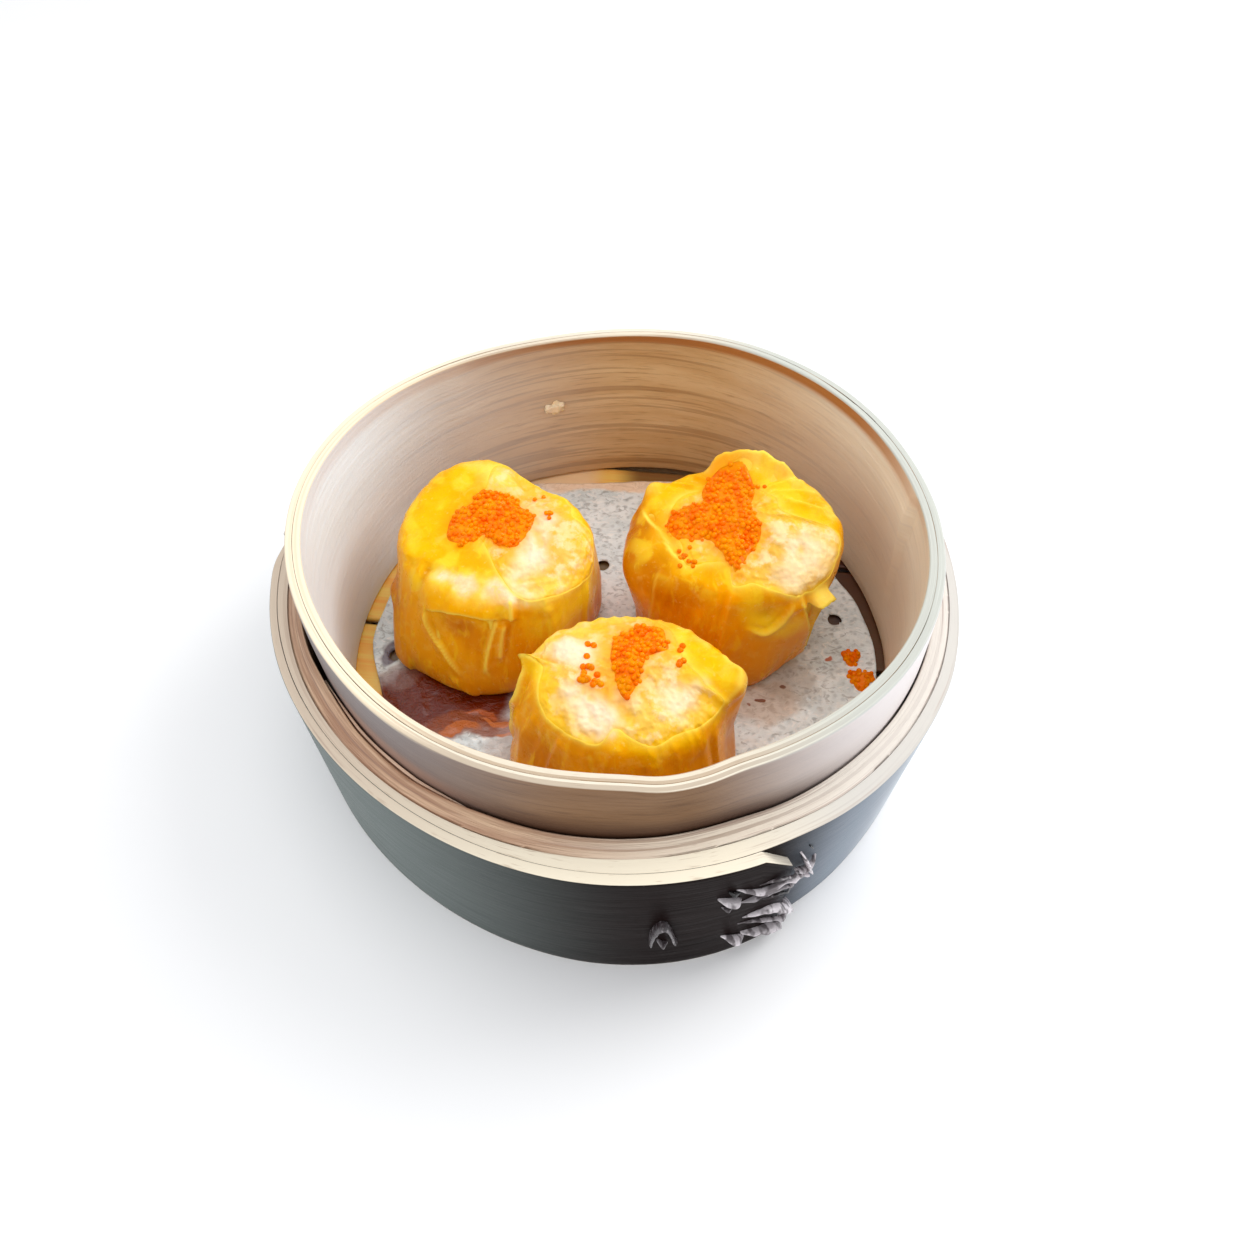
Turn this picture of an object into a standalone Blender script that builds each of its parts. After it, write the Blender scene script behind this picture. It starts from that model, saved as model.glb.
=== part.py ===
"""Three siu mai in the small bamboo basket they were steamed in.

Metres, +Z up, the table at z = 0. +X is the diner's right and +Y points away from the diner.
The basket is a tall hoop of two bamboo plies, gripped by a lower band of three plies, with a slatted
floor, a perforated liner and rattan stitches. Each dumpling is a gathered wrapper round its filling,
with a spoonful of roe on top.
"""

import math

import bmesh
import bpy
from mathutils import Vector

# Driving dimensions, in metres and degrees.
GAP = 0.0003                 # left between pieces that touch
SEGMENTS = 60                # flats round each bent hoop

BAND_RADIUS = 0.0730         # outside of the lower band, on average
BAND_TOP = 0.0397
LAP_START = 60.0             # where the outermost ply begins, shaved thin, going left round the basket
LAP_END = 293.0              # where it ends, cut square, at the front right
LAP_THICK = 0.0018           # of the outermost ply at its square end
LAP_THIN = 0.0006            # and at its shaved start
CORNER_RUN = 4.7             # degrees of the square end whose top corner is cut off
CORNER_DROP = 0.0080
SEAM_SHARE = 0.55            # part of the band's inner two plies that is the broad inner ply
BORE_RADIUS = 0.0666         # inside of the band, on average

HOOP_RADIUS = 0.0654         # outside of the tall hoop at its rim, on average
HOOP_TOP = 0.0528
PLY = 0.0015                 # each of the tall hoop's two plies
RIM_ROUND = 0.0004           # eased edge along the rim
CLEARANCE = 0.0004           # between the tall hoop and the band's bore

SLAT_BOTTOM = 0.0038
SLAT_THICK = 0.0021
SLAT_TURN = -10.0            # the slats' direction from +X
SLAT_PITCH = 0.0310
SLAT_SLOT = 0.0018
SLAT_EDGE = 0.0570           # far edge of the rearmost slat, across the slats
SLAT_SHORT = 0.0052          # the slats stop short of the wall on the right
BAR_SPACING = 0.0640         # between the two bars under the slats
BAR_WIDTH = 0.0090
BAR_BOTTOM = 0.0009
FOOT_TOP = 0.0035
FOOT_THICK = 0.0030

LINER_EDGE = (               # degrees from +X and radius: the paper is cut by hand, and scant at the back
    (0, 0.0607), (7, 0.0599), (14, 0.0582), (30, 0.0578), (60, 0.0570), (75, 0.0548), (85, 0.0532), (95, 0.0528),
    (103, 0.0545), (112, 0.0578), (125, 0.0598), (150, 0.0606), (160, 0.0598), (168, 0.0578), (176, 0.0565),
    (188, 0.0563), (200, 0.0568), (230, 0.0575), (270, 0.0585), (320, 0.0595), (345, 0.0614), (354, 0.0614),
    (360, 0.0607))
LINER_THICK = 0.0004
HOLE_RADIUS = 0.0017
HOLE_RINGS = ((0.0230, 3, 97.2), (0.0535, 6, 2.6))     # radius, number of holes, first hole's angle

WRAPPER = 0.0011             # thickness of the dumpling wrappers
TURNS = 24                   # columns of faces round each dumpling
RINGS = 7                    # rings of points from a dumpling's foot to the edge of its wrapper
FOOT_RING = 0.10             # share of the profile at the first ring
CREASES = 9                  # gathers round each dumpling's side
STRAND = 0.0006              # radius of a rattan strand

HOOP_BOTTOM = SLAT_BOTTOM + SLAT_THICK + GAP
LINER_BOTTOM = HOOP_BOTTOM
FOOD_BOTTOM = LINER_BOTTOM + LINER_THICK + GAP

# Each dumpling: its place, size and lean, where its top is highest and by how much, where its wrapper reaches
# furthest over the top and how far, and its heap of roe: centre on the top, size and the two- and three-lobed
# parts of its outline.
DUMPLINGS = {
    "left": dict(x=-0.0290, y=0.0094, radius=0.0250, height=0.0325, lean=(0.0030, 0.0), swell=(2, 60, 0.02),
                 lift=(100, 0.02), cover=(195, 0.20), turn=10, roe=(-0.0030, 0.0024), roe_radius=0.0094,
                 pair=(0.255, 7), trio=(0.11, -32)),
    "right": dict(x=0.0242, y=0.0064, radius=0.0234, height=0.0352, lean=(0.0058, 0.0005), swell=(2, 140, 0.05),
                  lift=(85, 0.07), cover=(95, 0.17), turn=40, roe=(-0.0048, 0.0007), roe_radius=0.0108,
                  pair=(0.152, 68), trio=(0.178, -57)),
    "front": dict(x=0.0006, y=-0.0326, radius=0.0222, height=0.0320, lean=(0.0015, 0.0010), swell=(2, 0, 0.11),
                  lift=(-90, 0.07), cover=(50, 0.12), turn=75, roe=(0.0013, 0.0052), roe_radius=0.0068,
                  pair=(0.29, 70), trio=(0.229, 17)),
}
# A dumpling's side and top as shares of its radius and its height, from the middle of its foot up.
PROFILE = ((0.0, 0.0), (0.80, 0.0), (0.95, 0.035), (1.0, 0.18), (0.985, 0.45), (0.94, 0.72), (0.89, 0.90),
           (0.76, 0.975), (0.42, 1.0), (0.0, 1.0))
BRIM = 0.68                  # share of the profile's length that the wrapper always covers

ROE_THICK = 0.0022
SPILLS = ((0.0550, -0.0088, 0.0024), (0.0561, -0.0150, 0.0030))       # x, y and radius

COLOURS = {                  # base colour, roughness
    "bamboo": ((0.78, 0.62, 0.42), 0.55),
    "band": ((0.07, 0.06, 0.06), 0.35),
    "slats": ((0.62, 0.34, 0.13), 0.45),
    "liner": ((0.62, 0.60, 0.56), 0.35),
    "wrapper": ((0.90, 0.55, 0.05), 0.35),
    "filling": ((0.88, 0.74, 0.55), 0.40),
    "roe": ((0.95, 0.25, 0.02), 0.25),
    "rattan": ((0.70, 0.62, 0.55), 0.50),
}


def clear_scene():
    for obj in list(bpy.data.objects):
        bpy.data.objects.remove(obj, do_unlink=True)


def make_material(name):
    colour, roughness = COLOURS[name]
    material = bpy.data.materials.get(name) or bpy.data.materials.new(name)
    material.use_nodes = True
    shader = material.node_tree.nodes["Principled BSDF"]
    shader.inputs["Base Color"].default_value = (*colour, 1.0)
    shader.inputs["Roughness"].default_value = roughness
    shader.inputs["Metallic"].default_value = 0.0
    return material


def wave(angle, lobes, amount, peak):
    """A hand-bent hoop's departure from a circle: so many lobes, the first at the peak, in degrees."""
    return amount * math.cos(lobes * (angle - math.radians(peak)))


def ease(share):
    share = min(max(share, 0.0), 1.0)
    return share * share * (3.0 - 2.0 * share)


def between(value, knots):
    """A straight-line graph through (position, height) knots."""
    for (x0, y0), (x1, y1) in zip(knots, knots[1:]):
        if value <= x1:
            return y0 + (y1 - y0) * max(value - x0, 0.0) / (x1 - x0)
    return knots[-1][1]


def bump(angle, centre, half_width, amount):
    """A smooth local change of an outline, largest at the centre; both angles in degrees."""
    away = abs((math.degrees(angle) - centre + 180.0) % 360.0 - 180.0)
    return amount * math.cos(math.pi / 2 * min(away / half_width, 1.0)) ** 2


def draw_in(angle, z):
    """How far the band leans in towards its foot, most at the front right, where the stitches pull it."""
    return (0.0003 + bump(angle, -42, 44, 0.0026)) * (1.0 - z / BAND_TOP)


def band_outside(angle, z):
    shape = BAND_RADIUS + wave(angle, 2, 0.0008, -49) + wave(angle, 3, 0.0010, 53)
    return shape + bump(angle, 90, 60, 0.0009) + bump(angle, -76, 24, -0.0004) - draw_in(angle, z)


def band_bore(angle, z):
    shape = BORE_RADIUS + wave(angle, 1, 0.0005, 0) + wave(angle, 2, 0.0008, 170)
    return shape + bump(angle, -85, 50, -0.00045) + bump(angle, -73, 14, -0.00055) - draw_in(angle, z)


def lap_depth(angle):
    """How far the middle ply lies under the band's outside: under the outermost ply, and easing out past it."""
    start, end = LAP_THIN + GAP, LAP_THICK + GAP
    knots = ((0.0, 0.0), (LAP_START - 30, 0.0), (LAP_START, start), (LAP_END, end), (LAP_END + 37, 0.0), (360, 0.0))
    return between(math.degrees(angle) % 360.0, knots)


def middle_outside(angle, z):
    return band_outside(angle, z) - lap_depth(angle)


def seam(angle, z):
    bore = band_bore(angle, z)
    return bore + SEAM_SHARE * (middle_outside(angle, z) - bore)


def hoop_outside(angle, z):
    """The tall hoop's outline: held by the band below its top, and drawn in above it at the front, with a kink."""
    bent = HOOP_RADIUS + wave(angle, 2, 0.0022, -15) + wave(angle, 3, 0.0010, 44) + wave(angle, 4, 0.0006, -25)
    held = min(bent + bump(angle, -90, 60, 0.0006), band_bore(angle, min(z, BAND_TOP)) - CLEARANCE)
    rim = bent + bump(angle, -80, 60, -0.00125) + bump(angle, -82, 12, 0.00125)
    share = max(z - BAND_TOP, 0.0) / (HOOP_TOP - BAND_TOP)
    return held + (rim - held) * share ** 1.5


def polar(radius, angle, z):
    return Vector((radius * math.cos(angle), radius * math.sin(angle), z))


def add_object(name, mesh, material, collection):
    mesh.materials.clear()
    mesh.materials.append(make_material(material))
    obj = bpy.data.objects.new(name, mesh)
    collection.objects.link(obj)
    return obj


def loft(name, sections, closed, material, collection):
    """A solid through a row of unlike sections, each a loop of points; a row that isn't closed gets end faces.

    Each panel starts from its lower corner, so the panels of plies that face each other bend the same way.
    """
    bm = bmesh.new()
    loops = [[bm.verts.new(point) for point in section] for section in sections]
    following = loops[1:] + ([loops[0]] if closed else [])
    for here, there in zip(loops, following):
        for i in range(len(here)):
            j = (i + 1) % len(here)
            panel = (here[i], here[j], there[j], there[i])
            if here[j].co.z < here[i].co.z:
                panel = panel[1:] + panel[:1]
            bm.faces.new(panel)
    if not closed:
        bm.faces.new(loops[0])
        bm.faces.new(loops[-1])
    bmesh.ops.recalc_face_normals(bm, faces=bm.faces)
    mesh = bpy.data.meshes.new(name)
    bm.to_mesh(mesh)
    bm.free()
    mesh.shade_smooth()
    mesh.set_sharp_from_angle(angle=math.radians(40))
    return add_object(name, mesh, material, collection)


def hoop_angles(start=0.0, end=360.0):
    """Angles along a hoop, one for each flat."""
    steps = max(round(SEGMENTS * (end - start) / 360.0), 2)
    return [math.radians(start + (end - start) * i / steps) for i in range(steps + 1)]


def make_tall_hoop(collection):
    heights = (HOOP_BOTTOM, BAND_TOP, (BAND_TOP + HOOP_TOP) / 2)
    for name, depth, outer_round in (("hoop_outer_ply", 0.0, RIM_ROUND), ("hoop_inner_ply", PLY + GAP, 0.0)):
        inner_round = RIM_ROUND - outer_round
        sections = []
        for angle in hoop_angles()[:-1]:
            def face(z, inset, angle=angle, depth=depth):
                return polar(hoop_outside(angle, z) - depth - inset, angle, z)

            outside = [face(z, 0.0) for z in heights]
            inside = [face(z, PLY) for z in reversed(heights)]
            rim = HOOP_TOP - RIM_ROUND
            if outer_round:
                edge = [face(rim, 0.0), polar(hoop_outside(angle, HOOP_TOP) - outer_round, angle, HOOP_TOP),
                        face(HOOP_TOP, PLY)]
            else:
                edge = [face(HOOP_TOP, 0.0), face(HOOP_TOP, PLY - inner_round), face(rim, PLY)]
            sections.append(outside + edge + inside)
        loft(name, sections, True, "bamboo", collection)


def band_section(angle, inner, outer, top=BAND_TOP):
    return [polar(inner(angle, 0.0), angle, 0.0), polar(outer(angle, 0.0), angle, 0.0),
            polar(outer(angle, top), angle, top), polar(inner(angle, top), angle, top)]


def make_band(collection):
    rings = (("band_inner_ply", band_bore, seam, "bamboo"),
             ("band_middle_ply", lambda angle, z: seam(angle, z) + GAP, middle_outside, "band"))
    for name, inner, outer, material in rings:
        sections = [band_section(angle, inner, outer) for angle in hoop_angles()[:-1]]
        loft(name, sections, True, material, collection)

    sections = []
    for angle in hoop_angles(LAP_START, LAP_END - CORNER_RUN) + [math.radians(LAP_END)]:
        drop = CORNER_DROP if angle > math.radians(LAP_END - CORNER_RUN / 2) else 0.0
        sections.append(band_section(angle, lambda a, z: middle_outside(a, z) + GAP, band_outside, BAND_TOP - drop))
    loft("band_outer_ply", sections, False, "band", collection)


def make_packing_strip(collection):
    """A thin strip of bamboo slipped between the hoop and the band at the front left."""
    bottom, top = 0.0120, BAND_TOP - 0.0004
    sections = []
    for angle in hoop_angles(206.0, 248.0):
        inner, outer = hoop_outside(angle, top) + 1.4 * GAP, band_bore(angle, bottom) - GAP
        sections.append([polar(inner, angle, bottom), polar(outer, angle, bottom),
                         polar(outer, angle, top), polar(inner, angle, top)])
    loft("packing_strip", sections, False, "bamboo", collection)


def foot_outside(angle):
    return band_bore(angle, 0.0) - GAP


def make_foot(collection):
    """The low ring inside the band that carries the slats."""
    sections = []
    for angle in hoop_angles()[:-1]:
        outer = foot_outside(angle)
        sections.append([polar(outer - FOOT_THICK, angle, 0.0), polar(outer, angle, 0.0),
                         polar(outer, angle, FOOT_TOP), polar(outer - FOOT_THICK, angle, FOOT_TOP)])
    loft("foot_ring", sections, True, "bamboo", collection)


def make_cutter(name, radius, cutters):
    """A tall plug whose plan is radius(angle), to trim the floor pieces to the hoop."""
    bm = bmesh.new()
    bmesh.ops.create_cone(bm, cap_ends=True, segments=SEGMENTS, radius1=1.0, radius2=1.0, depth=0.1)
    for vert in bm.verts:
        angle = math.atan2(vert.co.y, vert.co.x)
        vert.co = polar(radius(angle), angle, vert.co.z)
    mesh = bpy.data.meshes.new(name)
    bm.to_mesh(mesh)
    bm.free()
    cutter = bpy.data.objects.new(name, mesh)
    cutter.hide_render = True
    cutter.display_type = "WIRE"
    cutters.objects.link(cutter)
    return cutter


def add_plank(name, centre, size, turn, cutter, material, collection):
    """A flat piece with eased long edges, trimmed by a cutter."""
    bpy.ops.mesh.primitive_cube_add(size=1.0)
    obj = bpy.context.object
    for other in obj.users_collection:
        other.objects.unlink(obj)
    obj.name = name
    obj.data.name = name
    for vert in obj.data.vertices:
        vert.co = Vector([a * b for a, b in zip(vert.co, size)])
    obj.location = centre
    obj.rotation_euler.z = turn
    trim = obj.modifiers.new("trim", "BOOLEAN")
    trim.operation = "INTERSECT"
    trim.object = cutter
    obj.data.materials.append(make_material(material))
    collection.objects.link(obj)
    return obj


def slat_reach(angle):
    """The slats run under the hoop on the left, and stop short of its inner face on the right."""
    wall = hoop_outside(angle, HOOP_BOTTOM)
    return wall - PLY / 2 - SLAT_SHORT * max(math.cos(angle), 0.0) ** 2


def make_floor(collection, cutters):
    turn = math.radians(SLAT_TURN)
    across = Vector((-math.sin(turn), math.cos(turn), 0.0))
    along = Vector((math.cos(turn), math.sin(turn), 0.0))
    edge_plug = make_cutter("slat_outline", slat_reach, cutters)
    width = SLAT_PITCH - SLAT_SLOT
    for i in range(4):
        middle = SLAT_EDGE - width / 2 - i * SLAT_PITCH
        place = across * middle + Vector((0, 0, SLAT_BOTTOM + SLAT_THICK / 2))
        add_plank(f"slat_{i + 1}", place, (0.16, width, SLAT_THICK), turn, edge_plug, "slats", collection)
    bar_plug = make_cutter("bar_outline", lambda angle: foot_outside(angle) - FOOT_THICK - GAP, cutters)
    height = SLAT_BOTTOM - GAP - BAR_BOTTOM
    for i, side in enumerate((-1, 1)):
        place = along * (side * BAR_SPACING / 2) + Vector((0, 0, BAR_BOTTOM + height / 2))
        add_plank(f"bar_{i + 1}", place, (BAR_WIDTH, 0.16, height), turn, bar_plug, "slats", collection)


def spline_of(curve, points):
    spline = curve.splines.new("POLY")
    spline.points.add(len(points) - 1)
    for slot, (x, y) in zip(spline.points, points):
        slot.co = (x, y, 0.0, 1.0)
    spline.use_cyclic_u = True


def liner_edge(angle):
    return between(math.degrees(angle) % 360.0, LINER_EDGE)


def make_liner(collection):
    """A sheet of perforated paper: a flat outline with its holes, given its thickness by extrusion."""
    curve = bpy.data.curves.new("liner", "CURVE")
    curve.dimensions = "2D"
    curve.fill_mode = "BOTH"
    curve.extrude = LINER_THICK / 2
    steps = 48
    spline_of(curve, [polar(liner_edge(a), a, 0)[:2] for a in (math.tau * i / steps for i in range(steps))])
    for ring_radius, count, first in HOLE_RINGS:
        for k in range(count):
            middle = polar(ring_radius, math.radians(first + 360.0 * k / count), 0)
            sides = 8
            rim = [middle + polar(HOLE_RADIUS, math.tau * i / sides, 0) for i in range(sides)]
            spline_of(curve, [point[:2] for point in rim])
    sheet = bpy.data.objects.new("liner_curve", curve)
    sheet.location.z = LINER_BOTTOM + LINER_THICK / 2
    collection.objects.link(sheet)
    bpy.context.view_layer.update()
    mesh = bpy.data.meshes.new_from_object(sheet.evaluated_get(bpy.context.evaluated_depsgraph_get()))
    mesh.transform(sheet.matrix_world)
    bpy.data.objects.remove(sheet, do_unlink=True)
    bm = bmesh.new()
    bm.from_mesh(mesh)
    bmesh.ops.remove_doubles(bm, verts=bm.verts, dist=0.00001)
    bmesh.ops.recalc_face_normals(bm, faces=bm.faces)
    bm.to_mesh(mesh)
    bm.free()
    mesh.name = "liner"
    return add_object("liner", mesh, "liner", collection)


def along_profile(share):
    """The dumpling's smooth side: radius and height shares at a share of the profile's points."""
    last = len(PROFILE) - 1
    place = min(max(share, 0.0), 1.0) * last
    i = min(int(place), last - 1)
    t = place - i
    before, here = PROFILE[max(i - 1, 0)], PROFILE[i]
    there, after = PROFILE[i + 1], PROFILE[min(i + 2, last)]
    result = []
    for a, b, c, d in zip(before, here, there, after):
        curve = b + 0.5 * t * (c - a + t * (2 * a - 5 * b + 4 * c - d + t * (3 * (b - c) + d - a)))
        result.append(max(curve, 0.0))
    return result


def dumpling_point(d, angle, share):
    """A point of the dumpling's outer surface, folds and all."""
    radius, height = along_profile(share)
    lobes, peak, amount = d["swell"]
    swell = 1.0 + wave(angle, lobes, amount, peak)
    upper = ease((height - 0.15) / 0.5) * ease((radius - 0.35) / 0.4)
    folds = 0.025 * upper * math.cos(CREASES * angle + math.radians(d["turn"]))
    rise = 1.0 + wave(angle, 1, d["lift"][1], d["lift"][0]) * ease(height / 0.8) * radius
    middle = Vector((d["x"] + d["lean"][0] * height, d["y"] + d["lean"][1] * height, FOOD_BOTTOM))
    return middle + polar(d["radius"] * radius * (swell + folds), angle, d["height"] * height * rise)


def dumpling_skin(d, angle, share, depth):
    """The point that lies so far inside the dumpling's outer surface."""
    if share <= 0.0 or share >= 1.0:
        here = dumpling_point(d, angle, share)
        return here + Vector((0, 0, depth if share <= 0.0 else -depth))
    tiny = 0.01
    here = dumpling_point(d, angle, share)
    up = dumpling_point(d, angle, min(share + tiny, 0.999)) - dumpling_point(d, angle, max(share - tiny, 0.001))
    around = dumpling_point(d, angle + tiny, share) - dumpling_point(d, angle - tiny, share)
    return here - around.cross(up).normalized() * depth


def wrapper_edge(d, angle):
    """How far up the profile the wrapper reaches at an angle."""
    peak, amount = d["cover"]
    return BRIM + amount * (0.5 + 0.5 * math.cos(angle - math.radians(peak)))


def wrapped_share(d, angle, ring):
    return FOOT_RING + (wrapper_edge(d, angle) - FOOT_RING) * ring / (RINGS - 1)


def swept_rings(name, first, rings, last, material, collection):
    """A solid from one point, out through rings of points, to another point."""
    bm = bmesh.new()
    start, end = bm.verts.new(first), bm.verts.new(last)
    loops = [[bm.verts.new(point) for point in ring] for ring in rings]
    count = len(loops[0])
    for i in range(count):
        j = (i + 1) % count
        bm.faces.new((start, loops[0][j], loops[0][i]))
        bm.faces.new((end, loops[-1][i], loops[-1][j]))
        for here, there in zip(loops, loops[1:]):
            bm.faces.new((here[i], here[j], there[j], there[i]))
    mesh = bpy.data.meshes.new(name)
    bm.to_mesh(mesh)
    bm.free()
    mesh.shade_smooth()
    return add_object(name, mesh, material, collection)


def round_angles(count):
    return [math.tau * i / count for i in range(count)]


def make_wrapper(side, d, collection):
    """The gathered sheet of dough: a cup with an outer and an inner skin."""
    def ring_at(number, depth):
        return [dumpling_skin(d, a, wrapped_share(d, a, number), depth) for a in round_angles(TURNS)]

    outer = [ring_at(number, 0.0) for number in range(RINGS)]
    inner = [ring_at(number, WRAPPER) for number in reversed(range(RINGS))]
    swept_rings(f"wrapper_{side}", dumpling_skin(d, 0.0, 0.0, 0.0), outer + inner,
                dumpling_skin(d, 0.0, 0.0, WRAPPER), "wrapper", collection)


def make_filling(side, d, collection):
    """The meat, which fills the wrapper and swells up level with it where the wrapper stops."""
    bare_rings, clear, last = 4, 0.04, 0.96
    tuck = WRAPPER + 2 * GAP
    rings = [[dumpling_skin(d, a, wrapped_share(d, a, number), tuck) for a in round_angles(TURNS)]
             for number in range(RINGS)]
    for number in range(bare_rings):
        bare = []
        for a in round_angles(TURNS):
            edge = wrapper_edge(d, a) + clear
            bare.append(dumpling_point(d, a, edge + (last - edge) * number / (bare_rings - 1)))
        rings.append(bare)
    swept_rings(f"filling_{side}", dumpling_skin(d, 0.0, 0.0, tuck), rings, dumpling_point(d, 0.0, 1.0),
                "filling", collection)


def top_height(d, x, y):
    """Height of a dumpling's top over a point given from the top's middle, by halving along the profile."""
    angle, reach = math.atan2(y, x), math.hypot(x, y)
    crown = dumpling_point(d, 0.0, 1.0)
    low, high = 0.55, 1.0
    for _ in range(24):
        share = (low + high) / 2
        point = dumpling_point(d, angle, share)
        if math.hypot(point.x - crown.x, point.y - crown.y) > reach:
            low = share
        else:
            high = share
    return dumpling_point(d, angle, low).z


def make_roe(side, d, collection):
    """The spoonful of roe, solid out to its uneven outline, lying on the dumpling's top."""
    sides, shares = 16, (0.5, 0.86, 1.0)
    centre_x, centre_y = d["roe"]
    middle = dumpling_point(d, 0.0, 1.0)
    clear = 2 * GAP

    def layer_point(angle, share, lift):
        reach = d["roe_radius"] * share * (1.0 + wave(angle, 2, *d["pair"]) + wave(angle, 3, *d["trio"]))
        x, y = centre_x + reach * math.cos(angle), centre_y + reach * math.sin(angle)
        return Vector((middle.x + x, middle.y + y, top_height(d, x, y) + lift))

    def crown(share):
        return clear + ROE_THICK * math.sqrt(1.06 - share * share)

    under = [[layer_point(a, share, clear) for a in round_angles(sides)] for share in shares]
    over = [[layer_point(a, share, crown(share)) for a in round_angles(sides)] for share in reversed(shares)]
    swept_rings(f"roe_{side}", layer_point(0.0, 0.0, clear), under + over, layer_point(0.0, 0.0, crown(0.0)),
                "roe", collection)


def make_spills(collection):
    """Two small clumps of roe that fell on the liner."""
    for i, (x, y, radius) in enumerate(SPILLS):
        bpy.ops.mesh.primitive_uv_sphere_add(segments=12, ring_count=6, radius=1.0)
        obj = bpy.context.object
        for other in obj.users_collection:
            other.objects.unlink(obj)
        obj.name = f"spilled_roe_{i + 1}"
        obj.data.name = obj.name
        height = 0.0022
        for vert in obj.data.vertices:
            angle = math.atan2(vert.co.y, vert.co.x)
            uneven = 1.0 + wave(angle, 3, 0.12, 40 + 60 * i)
            vert.co = Vector((vert.co.x * radius * uneven, vert.co.y * radius * uneven, vert.co.z * height / 2))
        obj.location = (x, y, FOOD_BOTTOM + height / 2)
        obj.data.shade_smooth()
        obj.data.materials.append(make_material("roe"))
        collection.objects.link(obj)


def strand_point(degrees, z):
    """A point on the line of a strand that lies on the band, and steps down past the outermost ply's end."""
    angle = math.radians(degrees)
    lap_share = 1.0 - ease((degrees - (LAP_END - 360.0) - 0.6) / 2.2)
    surface = middle_outside(angle, z) + lap_depth(math.radians(LAP_END)) * lap_share
    if degrees < LAP_END - 360.0:
        surface = band_outside(angle, z)
    return polar(surface + GAP + STRAND * 1.15, angle, z)


def make_stitches(collection):
    """Rattan strands that bind the outermost ply's end, and a loop left of them."""
    runs = {
        "stitch_upper_a": ((-75.4, 0.0316), (-72.0, 0.0286), (-67.5, 0.0282), (-64.9, 0.0244)),
        "stitch_upper_b": ((-74.0, 0.0258), (-70.0, 0.0262), (-66.0, 0.0222)),
        "stitch_lower_a": ((-72.6, 0.0168), (-69.7, 0.0166), (-66.3, 0.0100), (-64.4, 0.0068)),
        "stitch_lower_b": ((-73.0, 0.0087), (-69.5, 0.0062), (-66.5, 0.0050)),
        "stitch_knot": ((-64.4, 0.0310), (-62.3, 0.0200)),
        "stitch_loop": ((-86.7, 0.0118), (-86.4, 0.0235), (-84.2, 0.0235), (-83.6, 0.0118)),
    }
    for name, corners in runs.items():
        curve = bpy.data.curves.new(name, "CURVE")
        curve.dimensions = "3D"
        curve.bevel_depth = STRAND
        curve.bevel_resolution = 1
        curve.use_fill_caps = True
        points = []
        for (a0, z0), (a1, z1) in zip(corners, corners[1:]):
            steps = 7 if abs(a1 - a0) > 4 else 4
            points += [strand_point(a0 + (a1 - a0) * i / steps, z0 + (z1 - z0) * i / steps) for i in range(steps)]
        points.append(strand_point(*corners[-1]))
        spline = curve.splines.new("POLY")
        spline.points.add(len(points) - 1)
        for slot, point in zip(spline.points, points):
            slot.co = (*point, 1.0)
        obj = bpy.data.objects.new(name, curve)
        curve.materials.append(make_material("rattan"))
        collection.objects.link(obj)


def main():
    clear_scene()
    basket = bpy.data.collections.new("siu_mai_basket")
    cutters = bpy.data.collections.new("cutters")
    bpy.context.scene.collection.children.link(basket)
    bpy.context.scene.collection.children.link(cutters)

    make_tall_hoop(basket)
    make_band(basket)
    make_packing_strip(basket)
    make_foot(basket)
    make_floor(basket, cutters)
    make_liner(basket)
    for side, dumpling in DUMPLINGS.items():
        make_wrapper(side, dumpling, basket)
        make_filling(side, dumpling, basket)
        make_roe(side, dumpling, basket)
    make_spills(basket)
    make_stitches(basket)


main()
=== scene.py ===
import math

import bpy
import numpy as np
from mathutils import Matrix, Vector, noise
from mathutils.bvhtree import BVHTree


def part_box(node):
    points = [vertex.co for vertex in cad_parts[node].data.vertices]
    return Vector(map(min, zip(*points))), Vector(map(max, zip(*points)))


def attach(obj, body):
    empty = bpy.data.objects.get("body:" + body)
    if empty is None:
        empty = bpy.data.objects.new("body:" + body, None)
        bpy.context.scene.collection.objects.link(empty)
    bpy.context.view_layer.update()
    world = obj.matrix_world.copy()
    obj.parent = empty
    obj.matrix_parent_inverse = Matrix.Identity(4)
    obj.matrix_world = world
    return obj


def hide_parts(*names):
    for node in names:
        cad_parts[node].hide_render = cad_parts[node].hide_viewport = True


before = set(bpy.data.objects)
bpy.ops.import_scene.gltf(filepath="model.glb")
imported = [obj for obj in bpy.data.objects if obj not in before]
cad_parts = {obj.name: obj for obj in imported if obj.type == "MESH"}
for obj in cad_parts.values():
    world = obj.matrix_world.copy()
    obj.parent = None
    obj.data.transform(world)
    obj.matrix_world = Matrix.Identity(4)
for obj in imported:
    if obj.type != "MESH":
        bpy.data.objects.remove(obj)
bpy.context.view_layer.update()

# ---- The table, the light and the diner's eye ---------------------------------------------------------
# The basket stands on a plain pale table. A wide soft light hangs behind it to the right, and a paler one
# fills in from the front left. The diner leans over it and looks down through its open top.

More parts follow.
